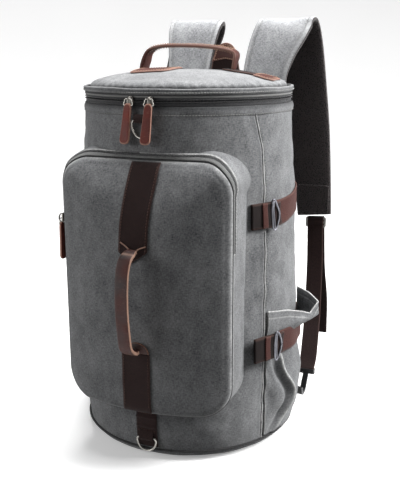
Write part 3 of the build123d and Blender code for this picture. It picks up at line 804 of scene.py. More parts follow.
def make_mouth():
    """Band round the mouth with its stitches, and the zip's lower half."""
    # painted shade along the band's edges, deepest at its top edge under the lid
    dirt = [0.3, 0.1, 0, 0, 0.1, 0.3, 0.6, 0.8, 0.9]
    band = hoop("mouth_binding", full_turn(288), mouth_profile(), 0.7 * MM, 8, True, dirt=dirt)
    dress(thicken(band, 1.2 * MM), "bag", "canvas", CANVAS, replaces=["mouth_band"])
    arc = open_arc(240)
    section = [(RIM_R - 1.0 * MM, RIM_Z - MM), (RIM_R - 0.5 * MM, RIM_Z + 2 * MM),
               (RIM_R - 0.7 * MM, ZIP_Z - 0.4 * MM)]
    tape = hoop("mouth_zip_cloth", arc, section)
    dress(thicken(tape, 0.8 * MM), "bag", "zip_tape", ZIP_TAPE, replaces=["mouth_zip_tape"])
    make_zip_row("mouth_zip_coil", arc, "bag", -1, "mouth_zip_teeth")
    row = ring_row(np.linspace(-180, 180, 300), RIM_R + 2.2 * MM, RIM_Z - 9.6 * MM)
    stitching("mouth_stitching", [row], "bag", "canvas", THREAD)


DOME_R = RIM_R - 6.5 * MM
DOME_Z = LID_EDGE_Z - 3.0 * MM
LID_TAUT_R = 0.112


def lid_height(r):
    """Height of the lid's crown at a distance from its middle."""
    share = np.clip(r / DOME_R, 0, 1)
    crown = LID_TOP_Z - LID_EDGE_Z + 2.2 * MM
    return DOME_Z + crown * (1 - share**2.3) ** 0.45


def lid_point(x, y, lift=0.0):
    """Points on the lid's dented crown, which is taut near its seam."""
    r = np.hypot(x, y)
    p = np.stack([x, y, lid_height(r)], -1)
    inside = 1 - step(r, LID_TAUT_R, DOME_R)
    dents = 1.5 * MM * wobble(p, 9, 9) * inside + 0.6 * MM * wobble(p, 28, 10) * (0.4 + 0.6 * inside)
    dents = dents - 1.2 * MM * creases(p, 10, 11) * inside
    p[..., 2] += dents - 1.2 * MM * inside + lift
    return p


def make_lid_cloth():
    """The lid's soft top, puckered at its seam, with a skirt that tucks in under the binding."""
    a = full_turn(288)
    r = DOME_R * np.sin(np.linspace(0.012, 1, 60) * np.pi / 2)[:, None]
    points = lid_point(r * np.sin(np.radians(a)), -r * np.cos(np.radians(a)))
    pucker = np.sin(np.radians(a) * 62 + 3 * wobble(points, 14, 33))
    points[..., 2] += 0.6 * MM * pucker * step(r, 0.118, DOME_R)
    skirt_r = RIM_R - np.array([[5.4], [2.6], [0.6], [0.6]]) * MM
    skirt_z = DOME_Z - np.array([[1.7], [2.1], [3.5], [5.5]]) * MM
    points = np.vstack([points, ringed(a[None, :], skirt_r, skirt_z)])
    # painted shade round the crown's edge by the binding, and over the whole skirt tucked under it
    dirt = np.vstack([0.9 * bell(r - DOME_R, 1.6 * MM), np.ones((4, 1))])
    sheet = turned(grid("lid_cloth", points, points[..., :2], True, wear=0.0, dirt=dirt))
    dress_soft(thicken(sheet, 1.8 * MM), "canvas", CANVAS, ["lid_top", "lid_rear"])


def make_lid_edge():
    """Binding round the lid, the zip's upper half and the cloth hinge at the rear."""
    arc = open_arc(260)
    low_z, high_z = LID_EDGE_Z - 8.0 * MM, LID_EDGE_Z - 1.0 * MM
    wear = [0.1, 0.5, 0.1, 0, 0, 0, 0, 0.1, 0.05, 0, 0]
    # painted shade along the binding's lower edge over the zip and along its inner top edge by the crown
    dirt = [0.9, 0.4, 0.15, 0.2, 0.4, 0.3, 0.2, 0.25, 0.3, 0.6, 0.9]
    profile = binding_profile(low_z, high_z)
    band = hoop("lid_binding", arc, profile, 1.8 * MM, 12, wear=wear, dirt=dirt)
    dress(thicken(band, 1.2 * MM), "lid", "canvas", CANVAS, replaces=["lid_band"])
    section = [(RIM_R - 0.7 * MM, ZIP_Z + 0.4 * MM), (RIM_R - 0.4 * MM, ZIP_Z + 3 * MM),
               (RIM_R + 0.9 * MM, low_z - 2.6 * MM), (RIM_R + 0.7 * MM, low_z - 1.2 * MM),
               (RIM_R - 0.1 * MM, low_z + 2 * MM)]
    tape = hoop("lid_zip_cloth", arc, section, wear=[0, 0, 0.8, 0, 0])
    dress(thicken(tape, 0.8 * MM), "lid", "zip_tape", ZIP_TAPE, replaces=["lid_zip_tape"])
    make_zip_row("lid_zip_coil", arc, "lid", 1, "lid_zip_teeth")
    rear = np.linspace(ZIP_ANGLE, 360 - ZIP_ANGLE, 90)
    wear = [0.3, 0, 0, 0, 0, 0, 0, 0.5, 0.4, 0, 0]
    profile = binding_profile(RIM_Z, high_z)
    wall = hoop("rear_hinge_cloth", rear, profile, 0.7 * MM, 13, wear=wear)
    dress(thicken(wall, 1.2 * MM), "bag", "canvas", CANVAS)
    row = ring_row(arc, RIM_R + 2.9 * MM, low_z + 2.2 * MM)
    stitching("lid_stitching", [row], "lid", "canvas", THREAD)


# ---- front pocket ----------------------------------------------------------------------------

POCKET_MIDDLE = (POCKET_LOW + POCKET_HIGH) / 2
POCKET_HALF_Z = (POCKET_HIGH - POCKET_LOW) / 2
POCKET_LEAN_Z = 0.300


def inset(x, z):
    """Distance in from the pocket's rounded outline."""
    qx = np.abs(x) - (POCKET_HALF - POCKET_CORNER)
    qz = np.abs(z - POCKET_MIDDLE) - (POCKET_HALF_Z - POCKET_CORNER)
    outer = np.hypot(np.maximum(qx, 0), np.maximum(qz, 0))
    return POCKET_CORNER - outer - np.minimum(np.maximum(qx, qz), 0)


def pocket_y(x, z, lift=0.0):
    """Depth of the pocket's stuffed face."""
    bow = POCKET_FRONT + (POCKET_SIDE - POCKET_FRONT) * (x / POCKET_HALF) ** 2
    over = np.maximum(z - POCKET_LEAN_Z, 0) / (POCKET_HIGH - POCKET_LEAN_Z)
    lean = POCKET_FRONT + (POCKET_TOP - POCKET_FRONT) * over**2
    soft = 2.5 * MM
    bow, lean = np.exp((bow - POCKET_FRONT) / soft), np.exp((lean - POCKET_FRONT) / soft)
    y = soft * np.log(bow + lean - 1)
    d = np.maximum(inset(x, z), 0)
    p = np.stack(np.broadcast_arrays(x, y * 0, z), -1)
    lumps = 1.5 * MM * wobble(p, 10, 14) + 0.6 * MM * wobble(p, 30, 15)
    drag = 1.1 * MM * creases(p @ np.array([[1, 0, 0.7], [0, 1, 0], [-0.7, 0, 1.0]]), 11, 16)
    slackness = step(d, 3 * MM, 26 * MM)
    roll = 4.5 * MM * np.exp(-d / (3.5 * MM)) + 1.2 * MM * np.exp(-d / (15 * MM))
    return POCKET_FRONT + y + roll + (lumps + drag) * slackness + 0.6 * MM - lift


def to_rounded(x, z):
    """Slide the corners of a rectangle's grid onto the pocket's rounded outline."""
    core_x, core_z = POCKET_HALF - POCKET_CORNER, POCKET_HALF_Z - POCKET_CORNER
    u = np.clip((np.abs(x) - core_x) / POCKET_CORNER, 0, 1)
    v = np.clip((np.abs(z - POCKET_MIDDLE) - core_z) / POCKET_CORNER, 0, 1)
    grow_x = u * np.sqrt(1 - v**2 / 2) - u
    grow_z = v * np.sqrt(1 - u**2 / 2) - v
    x = x + np.sign(x) * grow_x * POCKET_CORNER
    return x, z + np.sign(z - POCKET_MIDDLE) * grow_z * POCKET_CORNER


def pocket_outline(count):
    """The outline from the bottom's middle round and back, with outward directions."""
    core_x, core_z = POCKET_HALF - POCKET_CORNER, POCKET_HALF_Z - POCKET_CORNER
    line = [(0, POCKET_LOW)]
    for sx, sz, start in ((1, -1, -90), (1, 1, 0), (-1, 1, 90), (-1, -1, 180)):
        for angle in np.radians(np.linspace(start, start + 90, 24)):
            x = sx * core_x + POCKET_CORNER * math.cos(angle)
            line.append((x, POCKET_MIDDLE + sz * core_z + POCKET_CORNER * math.sin(angle)))
    line = resample(np.array(line + [line[0]]), count)
    t = unit(np.gradient(line, axis=0))
    return line, np.stack([t[:, 1], -t[:, 0]], 1)


def facing(out):
    """Outward directions of the outline, as directions in space."""
    return np.stack([out[:, 0], 0 * out[:, 0], out[:, 1]], 1)


def wall_points(line, out, depths, grow=0.0):
    """Rows of the pocket's side wall at distances behind the face, and the room behind it.

    The wall's top flares onto the barrel.
    """
    x, z = line.T
    edge = pocket_y(x, z)
    room = -np.sqrt(radius(z) ** 2 - x**2) - edge
    rows = []
    for depth in depths:
        flare = 11 * MM * (1 - np.exp(-depth / (9 * MM))) * np.maximum(out[:, 1], 0) ** 0.7
        px, pz = x + out[:, 0] * (flare + grow), z + out[:, 1] * (flare + grow)
        on_barrel = -np.sqrt(np.maximum(radius(pz) ** 2 - px**2, 0)) - 1.4 * MM
        share = np.clip(depth / np.maximum(room, 14 * MM), 0, 1)
        squeezed = edge + (on_barrel - edge) * share
        y = np.minimum(np.where(room < 14 * MM, squeezed, edge + depth), on_barrel)
        rows.append(np.stack([px, y, pz], -1))
    return np.array(rows), np.maximum(room, 0)


def dress_flap(piece, slot, material, *nodes):
    dress_soft(piece, slot, material, nodes)


def make_pocket_face():
    across, up = np.linspace(-POCKET_HALF, POCKET_HALF, 117), np.linspace(POCKET_LOW, POCKET_HIGH, 161)
    x, z = to_rounded(*np.meshgrid(across, up))
    d = inset(x, z)
    y = pocket_y(x, z) + 0.7 * MM * bell(d - 6.5 * MM, 1.3 * MM)
    points = np.stack([x, y, z], -1)
    wear = bell(d - 0.8 * MM, 1.3 * MM) * (0.35 + 0.35 * wobble(points, 40, 17))
    # painted shade along the ridge 6.5 mm in from the pocket's edge
    dirt = 0.25 * bell(d - 6.5 * MM, 1.2 * MM)
    face = thicken(grid("pocket_face", points, points[..., ::2], wear=wear, dirt=dirt), 1.8 * MM)
    dress_flap(face, "canvas", CANVAS, "pocket_front", "pocket_flap")


def make_pocket_walls():
    """The pocket's side wall, set back under the zip, and the piping along its front edge."""
    line, out = pocket_outline(420)
    zipped = step(line[:, 1], POCKET_ZIP_END - 3 * MM, POCKET_ZIP_END + 3 * MM)
    start = (1.6 + 8.6 * zipped) * MM
    _, room = wall_points(line, out, [0.0])
    end = np.maximum(room, 12 * MM) + 5 * MM
    share = np.linspace(0, 1, 26)[:, None]
    depths = start + (end - start) * share
    points, _ = wall_points(line, out, depths, 0.3 * MM)
    billow = 1.4 * MM * wobble(points, 18, 18) * np.sin(np.pi * share)
    points[..., 0] += out[:, 0] * billow
    points[..., 2] += out[:, 1] * billow
    wear = bell(depths - start - 0.6 * MM, 1.7 * MM) * 0.9
    # painted shade at the back of the wall, where it meets the barrel
    dirt = 0.5 * bell(depths - end, 3 * MM)
    uv = np.stack([np.broadcast_to(run_along(line), depths.shape), depths], -1)
    gusset = thicken(turned(grid("pocket_gusset_cloth", points, uv, wear=wear, dirt=dirt)), 1.6 * MM)
    dress(gusset, "bag", "canvas", CANVAS, replaces=["pocket_gusset"])
    edge, _ = wall_points(line, out, [1.2 * MM], -0.1 * MM)
    side = facing(out)[:-1]
    cord = cord_of("pocket_edge_piping", edge[0][:-1], 1.9 * MM, side, closed=True, count=8)
    dress_flap(cord, "piping", PIPING)


def make_pocket_zip():
    """Two tapes and two rows of coil, up the pocket's sides and over its top."""
    line, out = pocket_outline(700)
    top = line[:, 1] > POCKET_ZIP_END
    line, out = line[top], out[top]
    outer, _ = wall_points(line, out, np.array([1.2, 3.0, 5.0, 7.2]) * MM, 0.1 * MM)
    wear = np.array([[0.5], [0.2], [0.1], [0.0]])
    tape = thicken(turned(grid("flap_zip_cloth", outer, wear=wear)), 0.8 * MM)
    dress_flap(tape, "zip_tape", POCKET_TAPE, "flap_zip_tape")
    inner, _ = wall_points(line, out, np.array([8.2, 9.6, 11.4]) * MM, -0.2 * MM)
    tape = thicken(turned(grid("pocket_zip_cloth", inner)), 0.8 * MM)
    dress(tape, "bag", "zip_tape", ZIP_TAPE, replaces=["pocket_zip_tape"])

    def coil(name, depth):
        row, _ = wall_points(line, out, [depth], 0.3 * MM)
        tooth = bead(1.2 * MM, 1.3 * MM, 2.2 * MM, 0.8 * MM)
        return repeat_along(name, [(row[0], facing(out))], COIL_PITCH, tooth)

    dress_flap(coil("flap_zip_coil", 6.9 * MM), "zip_coil", COIL_PAINTED_HIGHLIGHT)
    dress(coil("pocket_zip_coil", 8.5 * MM), "bag", "zip_coil", COIL_PAINTED_HIGHLIGHT)


GRIP_TOP = high("front_handle_anchors")[2]
GRIP_FOOT = low("front_handle_anchors")[2]


def webbing_middle(z):
    """The webbing wanders a little off the pocket's middle."""
    return 5 * MM * step(z, 0.300, 0.385) - 1.5 * MM * bell(z - 0.26, 0.05)


def webbing_strip(name, low_z, high_z, point=0.0):
    """Webbing on the pocket's face; its lower end may be folded to a point."""
    u, v = np.meshgrid(np.linspace(-1, 1, 15), np.linspace(0, 1, 80))
    z = low_z + (high_z - low_z) * v + point * (np.abs(u + 0.1) - 0.4) * (1 - v) ** 6
    x = u * high("front_webbing")[0] * (1 - 0.35 * bool(point) * bell(v, 0.035)) + webbing_middle(z)
    edge = 1 - np.abs(u)
    points = on_pocket(x, z, 2.0 * MM + 0.35 * MM * bell(edge - 0.1, 0.08))
    wear = np.clip(0.35 * bell(edge, 0.05) + 0.9 * bool(point) * bell(v, 0.012), 0, 1)
    return thicken(grid(name, points, np.stack([x, z], -1), wear=wear), 1.5 * MM)


def make_front_webbing():
    """Webbing on the pocket above and below the grip, and its narrower tail under the pocket."""
    lane = high("front_webbing")[0]
    spans = ((GRIP_TOP - 18 * MM, POCKET_HIGH - 1.5 * MM), (POCKET_LOW + 2 * MM, GRIP_FOOT + 12 * MM))
    upper = webbing_strip("upper_webbing_cloth", *spans[0], 9 * MM)
    dress_flap(upper, "webbing", WEBBING, "flap_webbing")
    lower = webbing_strip("lower_webbing_cloth", *spans[1])
    dress(lower, "bag", "webbing", WEBBING, replaces=["front_webbing"])
    for label, (low_z, high_z) in zip(("upper", "lower"), spans):
        z = np.linspace(low_z + 8 * MM, high_z - 4 * MM, 80)
        rows = []
        for side in (-1, 1):
            x = side * lane * 0.87 + webbing_middle(z)
            rows.append((on_pocket(x, z, 2.4 * MM), (0, -1, 0)))
        stitches = repeat_along(f"{label}_webbing_stitching", rows, STITCH_PITCH, STITCH)
        dress_flap(stitches, "webbing", BROWN_THREAD)
    a, z = np.meshgrid(np.linspace(-5.5, 5.5, 11), np.linspace(BASE_Z + 4 * MM, POCKET_LOW + 4 * MM, 40))
    fold = 1.3 * MM * (bell(z - 0.058, 1.3 * MM) + bell(z - 0.045, 1.3 * MM))
    tail = grid("base_webbing", on_skin(a, z, 2.2 * MM + fold), unrolled(a, z))
    dress(thicken(tail, 1.6 * MM), "bag", "webbing", WEBBING)
    rows = []
    for z in (0.066, 0.0635, 0.040, 0.0375):
        a = np.linspace(-4.8, 4.8, 20)
        rows.append((on_skin(a, np.full_like(a, z), 2.5 * MM), ringed(a, 1.0, 0 * a)))
    stitching("base_webbing_stitching", rows, "bag", "webbing", BROWN_THREAD)


# ---- leather and small hardware ------------------------------------------------------------


def plate(name, outline, surface, thickness, crown=0.5 * MM):
    """A thin piece cut to a closed outline (u, v) and laid on surface(u, v, lift)."""
    outline = np.array(outline)
    centre = outline.mean(0)
    shares = np.r_[np.linspace(0.02, 0.9, 6), 0.96, 0.99, 1.0, 1.0, 0.99, 0.9, 0.02]
    lifts = np.r_[np.full(6, 1.0), 0.97, 0.82, 0.5, 0.2, 0.0, 0.0, 0.0] * thickness
    rows, wears = [], []
    for share, lift in zip(shares, lifts):
        u, v = (centre + (outline - centre) * share).T
        rows.append(surface(u, v, lift + crown * (1 - share**2) * (lift > 0.9 * thickness)))
        wears.append(float(0.95 < share) * float(lift > 0.1 * thickness))
    wears = np.array(wears)[:, None]
    uv = np.broadcast_to(outline, (len(rows),) + outline.shape)
    return grid(name, np.array(rows), uv, True, wear=wears)


def rounded(half_u, half_v, corner, count=72, taper=0.0):
    """Outline of a rounded rectangle whose far end (+v) may be narrower."""
    line = []
    corner = min(corner, half_u, half_v)
    for su, sv, start in ((1, 1, 0), (-1, 1, 90), (-1, -1, 180), (1, -1, 270)):
        for angle in np.radians(np.linspace(start, start + 90, 12)):
            u = su * (half_u - corner) + corner * math.cos(angle)
            v = sv * (half_v - corner) + corner * math.sin(angle)
            line.append((u * (1 - taper * (v / half_v + 1) / 2), v))
    return resample(np.array(line), count, closed=True)


def on_pocket(u, v, lift):
    return np.stack([u, pocket_y(u, v, lift), v], -1)


def loop_row(outline, surface, lift, shrink):
    """A row of stitches just inside a plate's outline."""
    centre = outline.mean(0)
    span = (outline.max(0) - outline.min(0)) / 2
    inner = centre + (outline - centre) * (1 - shrink / span)
    inner = np.vstack([inner, inner[:1]])
    at = surface(inner[:, 0], inner[:, 1], lift)
    above = surface(inner[:, 0], inner[:, 1], lift + MM)
    return at, unit(above - at)


def leather_patch(name, outline, surface, thickness, body, *nodes):
    piece = plate(name, outline, surface, thickness)
    dress(piece, body, "leather", LEATHER, replaces=nodes)
    row = loop_row(outline, surface, thickness + 0.3 * MM, 2.6 * MM)
    stitching(name + "_stitching", [row], body, "leather", EDGE_THREAD)


def make_front_handle():
    """Rolled leather grip between the folded webbing end above and a leather half moon below."""
    low_z, high_z = low("front_handle")[2] + 6 * MM, high("front_handle")[2] + 5 * MM
    root_y, out_y = high("front_handle")[1], low("front_handle")[1] + 7 * MM
    points = [
        (2 * MM, root_y, high_z), (1 * MM, root_y - 5 * MM, high_z - 1 * MM),
        (0, out_y + 5 * MM, high_z - 8 * MM), (-2 * MM, out_y + 1 * MM, high_z - 26 * MM),
        (-3 * MM, out_y, (low_z + high_z) / 2), (-1 * MM, out_y, low_z + 28 * MM),
        (0, out_y + 3 * MM, low_z + 10 * MM), (1 * MM, root_y - 8 * MM, low_z + 1 * MM),
        (2 * MM, root_y, low_z),
    ]
    line = smooth_path(points, 100)
    x, y = frames(line, (1, 0, 0))
    section = oval(16.5 * MM, 4.6 * MM, 40, 0.3)
    across = section[:, 0] * (1 if x[50][0] > 0 else -1)
    wear = 0.9 * bell(across - 8.2 * MM, 0.6 * MM) + 0.2 * bell(across + 8.2 * MM, 0.5 * MM)
    t = np.linspace(0, 1, 100)
    narrow = 0.8 + 0.2 * step(t, 0, 0.06) * (1 - step(t, 0.94, 1))
    sections = section * np.stack([narrow, np.ones_like(narrow)], 1)[:, None, :]
    rubbed = 0.35 * (bell(t - 0.07, 0.012) + bell(t - 0.93, 0.016))
    wear = np.clip(wear[None] + rubbed[:, None], 0, 1)
    grip = loft("front_grip", line, x, y, sections, wear=wear)
    dress(grip, "front_handle", "leather", GRIP_LEATHER, replaces=["front_handle"])

    def raised(u, v, lift):
        return on_pocket(u, v, lift + 2.6 * MM)

    lane = high("front_webbing")[0]
    turn = np.linspace(0, np.pi, 40)
    moon = np.stack([3 * MM + 0.82 * lane * np.cos(turn), low_z - 3 * MM + 14 * MM * np.sin(turn)], 1)
    patch = plate("grip_lower_patch", resample(moon, 60, closed=True), raised, 2.2 * MM)
    dress(patch, "bag", "leather", DARK_LEATHER, replaces=["front_handle_anchors"])
    fold = [(-lane * 0.86, 9 * MM), (-lane * 0.4, 4 * MM), (1 * MM, -3 * MM),
            (lane * 0.4, 2 * MM), (lane * 0.9, 6 * MM)]
    route = smooth_path([(x, 0, high_z + z) for x, z in fold], 40)
    route[:, 1] = pocket_y(route[:, 0], route[:, 2], 4.0 * MM)
    edge = cord_of("webbing_fold_edge", route, 1.7 * MM, (0, 1, 0), count=8)
    dress(edge, "bag", "leather", EDGE_LEATHER)


def make_top_handle():
    """Leather handle standing on the lid, its ends under patches."""
    left, right = low("top_handle")[0], high("top_handle")[0]
    foot_z = lid_height(0.06) - 0.2 * MM
    top_z = high("top_handle")[2] - 2.4 * MM
    points = [
        (left + 2 * MM, 0, foot_z), (left + 5 * MM, 0, foot_z + 10 * MM),
        (left + 12 * MM, 0, top_z - 7 * MM), (left + 30 * MM, 0, top_z - 0.5 * MM),
        (0, 0, top_z), (right - 34 * MM, 0, top_z - 2 * MM), (right - 10 * MM, 0, top_z - 6 * MM),
        (right - 1 * MM, 0, top_z - 11 * MM), (right - 3 * MM, 0, foot_z + 8 * MM),
        (right - 5 * MM, 0, foot_z),
    ]
    line = smooth_path(points, 110)
    x, y = frames(line, (0, 1, 0))
    section = oval(20 * MM, 4.2 * MM, 20, 0.42)
    wear = bell(np.abs(section[:, 0]) - 10 * MM, 0.9 * MM)
    t = np.linspace(0, 1, 110)
    squeeze = 1 + 0.2 * (1 - step(t, 0.02, 0.2)) - 0.4 * step(t, 0.88, 1)
    thick = 1 + 0.6 * bell(t - 0.07, 0.06)
    sections = section * np.stack([squeeze, thick], 1)[:, None, :]
    handle = loft("top_grip", line, x, y, sections, wear=wear[None] * step(t, 0.12, 0.25)[:, None])
    dress(handle, "top_handle", "leather", LEATHER, replaces=["top_handle"])
    keep = slice(14, -16)
    rows = [(line[keep] + side * 7.6 * MM * x[keep] + up * 2.55 * MM * y[keep], up * y[keep])
            for side in (-1, 1) for up in (-1, 1)]
    stitching("top_grip_stitching", rows, "top_handle", "leather", EDGE_THREAD)

    def on_lid(u, v, lift):
        return lid_point(u, v, lift + 0.6 * MM)

    left = rounded(28 * MM, 31 * MM, 13 * MM) + (-0.027, -0.044)
    leather_patch("lid_patch_left", left, on_lid, 1.8 * MM, "lid", "top_handle_patches")
    right = rounded(14 * MM, 19 * MM, 6 * MM) + (0.110, -0.004)
    leather_patch("lid_patch_right", right, on_lid, 1.8 * MM, "lid")
    strip = rounded(25 * MM, 14 * MM, 2 * MM) + (0.077, 0)
    web = plate("lid_webbing", strip, on_lid, 1.6 * MM)
    dress(web, "lid", "webbing", WEBBING, replaces=["top_handle_webbing"])


def moved(piece, origin, across, out, up):
    """Turn a piece made in (across, out, up) axes into its place on the bag."""
    basis = Matrix((across, out, up)).transposed().to_4x4()
    piece.data.transform(Matrix.Translation(origin) @ basis)
    return piece


def local_slider(name):
    """Zip slider: one rounded body and the bail that the wire hangs from."""
    flat = rounded(4.3 * MM, 5.8 * MM, 3.0 * MM, 40, 0.2)
    body = plate("cheek", flat, lambda u, v, lift: np.stack([u, lift + 0 * u, v], -1), 2.2 * MM)
    arch = smooth_path([(0, 1.5 * MM, 4.6 * MM), (0, 5.0 * MM, 4.2 * MM), (0, 7.4 * MM, 1.2 * MM),
                        (0, 7.6 * MM, -3.4 * MM), (0, 5.4 * MM, -6.2 * MM), (0, 1.5 * MM, -5.2 * MM)], 30)
    x, y = frames(arch, (1, 0, 0))
    bail = loft("bail", arch, x, y, oval(3.0 * MM, 1.3 * MM, 12, 0.7))
    return join(name, [body, bail])


def local_wire(name):
    """Wire loop of a pull: a small rounded frame hanging from its top."""
    line = [(-3.6, 0, 0), (3.6, 0, 0), (5.2, 0, -3.5), (5.6, 0, -7.4), (-5.6, 0, -7.4), (-5.2, 0, -3.5)]
    path = smooth_path([np.array(p) * MM for p in line + line[:2]], 60)[:-9]
    return cord_of(name, path, 1.35 * MM, (0, 1, 0), closed=True, count=8)


PULL_LENGTH = 49 * MM


def local_tongue(name, lean):
    """Stitched leather pull, wider at its foot, hanging from just below the wire."""
    flat = rounded(6.6 * MM, PULL_LENGTH / 2, 5.4 * MM, 80, 0.3)
    v = flat[:, 1] - PULL_LENGTH / 2
    flat = np.stack([flat[:, 0] + v * math.tan(math.radians(lean)), v], 1)[::-1]

    def face(u, v, lift):
        bow = 0.3 * MM * np.sin(-v / PULL_LENGTH * 3)
        return np.stack([u, lift - 1.2 * MM - bow, v], -1) + np.array((0, 0, -4.9 * MM))

    piece = plate(name, flat, face, 3.0 * MM, 0.3 * MM)
    row = loop_row(flat, face, 3.1 * MM, 2.0 * MM)
    seam = repeat_along(name + "_stitching", [row], 2.6 * MM, bead(1.8 * MM, 0.35 * MM, 0.5 * MM))
    return piece, seam


def place_pull(label, slider_node, pull_node, wire_node, origin, across, out, hinge, tilt):
    """Slider with its bail, wire loop and leather tongue; the pull hangs tilted out and to one side."""
    across, out, up = Vector(across), Vector(out), Vector((0, 0, 1))
    slider = moved(local_slider(label + "_slider_body"), origin, across, out, up)
    dress(slider, slider_node, "slider_metal", DARK_METAL, replaces=[slider_node])
    pivot = Vector(origin) + out * hinge[0] + up * hinge[1]
    c, s = math.cos(math.radians(tilt)), math.sin(math.radians(tilt))
    out, up = out * c + up * s, up * c - out * s
    wire = moved(local_wire(label + "_pull_loop"), pivot, across, out, up)
    dress(wire, pull_node, "slider_metal", NICKEL, replaces=[wire_node])
    tongue, seam = local_tongue(label + "_pull_leather", tilt)
    moved(tongue, pivot, across, out, up)
    moved(seam, pivot, across, out, up)
    dress(tongue, pull_node, "leather", PULL_LEATHER, replaces=[pull_node])
    dress(seam, pull_node, "leather", BROWN_THREAD)


def make_pulls():
    for side in ("left", "right"):
        nodes = f"lid_slider_{side}", f"lid_pull_{side}", f"lid_pull_wire_{side}"
        a = heading(middle(nodes[0]))
        out = Vector((math.sin(a), -math.cos(a), 0))
        origin = out * (RIM_R + 1.4 * MM) + Vector((0, 0, ZIP_Z))
        hinge = (6.6 * MM, high(nodes[2])[2] - 0.6 * MM - ZIP_Z)
        place_pull(f"lid_{side}", *nodes, origin, (math.cos(a), math.sin(a), 0), out, hinge, 5.0)
    nodes = "pocket_slider", "pocket_pull", "pocket_pull_wire"
    y, z = middle(nodes[0])[1:]
    origin = (low("pocket_gusset")[0] - 0.8 * MM, y, z)
    hinge = (4.0 * MM, high(nodes[2])[2] - 0.6 * MM - z)
    place_pull("pocket", *nodes, origin, (0, -1, 0), (-1, 0, 0), hinge, 0.0)


def half_round(width, height):
    """Line of a D ring hanging below its bar; the bar lies along X at the origin."""
    half = width / 2
    bar = [(x, 0, 0) for x in np.linspace(-0.82, 0.82, 7) * half]
    curve = [(half * math.cos(a), 0, -0.18 * height - 0.82 * height * math.sin(a))
             for a in np.linspace(0, np.pi, 15)]
    return smooth_path(bar + curve + bar[:2], 90)[:-3]


def folded_tab(name, width, reach):
    """Webbing folded round a ring's bar and sewn to the bag above it."""
    loop = [
        (0, -1.6 * MM, reach), (0, -1.9 * MM, 3 * MM), (0, -1.5 * MM, -1.4 * MM), (0, 0.4 * MM, -2.6 * MM),
        (0, 2.1 * MM, -1.2 * MM), (0, 2.0 * MM, 3 * MM), (0, 0.2 * MM, reach),
    ]
    line = smooth_path(loop, 40)
    x, y = frames(line, (1, 0, 0))
    return loft(name, line, x, y, oval(width, 1.3 * MM, 16, 0.3))


RINGS = (
    # ring, tab, node, ring's width and height, tab's width and reach in mm, node that the tab replaces
    ("upper_d_ring", "upper_ring_tab", "upper_ring", 25, 21, 18, 7, ["ring_tabs"]),
    ("lower_d_ring", "lower_ring_tab", "lower_ring", 27, 18, 20, 11, []),
    ("hook_ring_right", "hook_ring_tab_right", "base_ring_right", 24, 17, 17, 13, []),
    ("hook_ring_left", "hook_ring_tab_left", "base_ring_left", 24, 17, 17, 13, []),
)


def make_rings():
    for name, tab_name, node, width, height, tab_width, reach, replaced in RINGS:
        centre = middle(node)
        a = heading(centre)
        r = math.hypot(centre[0], centre[1])
        across, out = (math.cos(a), math.sin(a), 0), (math.sin(a), -math.cos(a), 0)
        bar = (r * math.sin(a), -r * math.cos(a), high(node)[2] - 1.3 * MM)
        line = half_round(width * MM, height * MM)
        ring = cord_of(name, line, 2.5 * MM, (0, 1, 0), closed=True, count=12)
        dress(moved(ring, bar, across, out, (0, 0, 1)), node, "ring_metal", NICKEL, replaces=[node])
        tab = moved(folded_tab(tab_name, tab_width * MM, reach * MM), bar, across, out, (0, 0, 1))
        dress(tab, "bag", "webbing", WEBBING, replaces=replaced)


# ---- sides -------------------------------------------------------------------------------------


def wrap_strap(name, z_of, low_angle, high_angle, width, lift, thickness, slot, material, worn_end=0.0):
    """A flat strap lying round the barrel; z_of(angle) is its middle's height, lift(angle) its lift."""
    columns = int((high_angle - low_angle) * 1.5) + 4
    a, v = np.meshgrid(np.linspace(low_angle, high_angle, columns), np.linspace(-1, 1, 11))
    z = z_of(a) + v * width / 2
    edge = 1 - np.abs(v)
    points = on_skin(a, z, lift(a) + 0.25 * MM * bell(edge - 0.14, 0.1))
    uv = np.stack([v * width / 2, np.radians(a) * RIM_R], -1)
    wear = 0.5 * bell(edge, 0.06) + worn_end * bell(a - low_angle, 0.5)
    strap = thicken(grid(f"{name}_right", points, uv, wear=wear), thickness)
    return dress(strap, "bag", slot, material)


def make_buckle(name, z, lift):
    """Bar buckle lying on the barrel: a barrel-shaped ring and the bar across it."""
    def at(points):
        a, dz = np.array(points).T
        return on_skin(a, z + dz * MM, lift)

    outline = [(65.9, 17.5), (65.7, 0), (65.9, -17.5), (67.6, -18.2),
               (69.3, -12), (71.2, 0), (69.3, 12), (67.6, 18.2)]
    line = smooth_path(at(outline + outline[:2]), 80)[:-9]
    ring = cord_of("outer", line, 2.7 * MM, (0, 0, 1), closed=True)
    bar = cord_of("bar", at([(67.0, s) for s in np.linspace(-17, 17, 12)]), 2.3 * MM, (1, 0, 0))
    return dress(join(name, [ring, bar]), "bag", "buckle_metal", GUNMETAL)


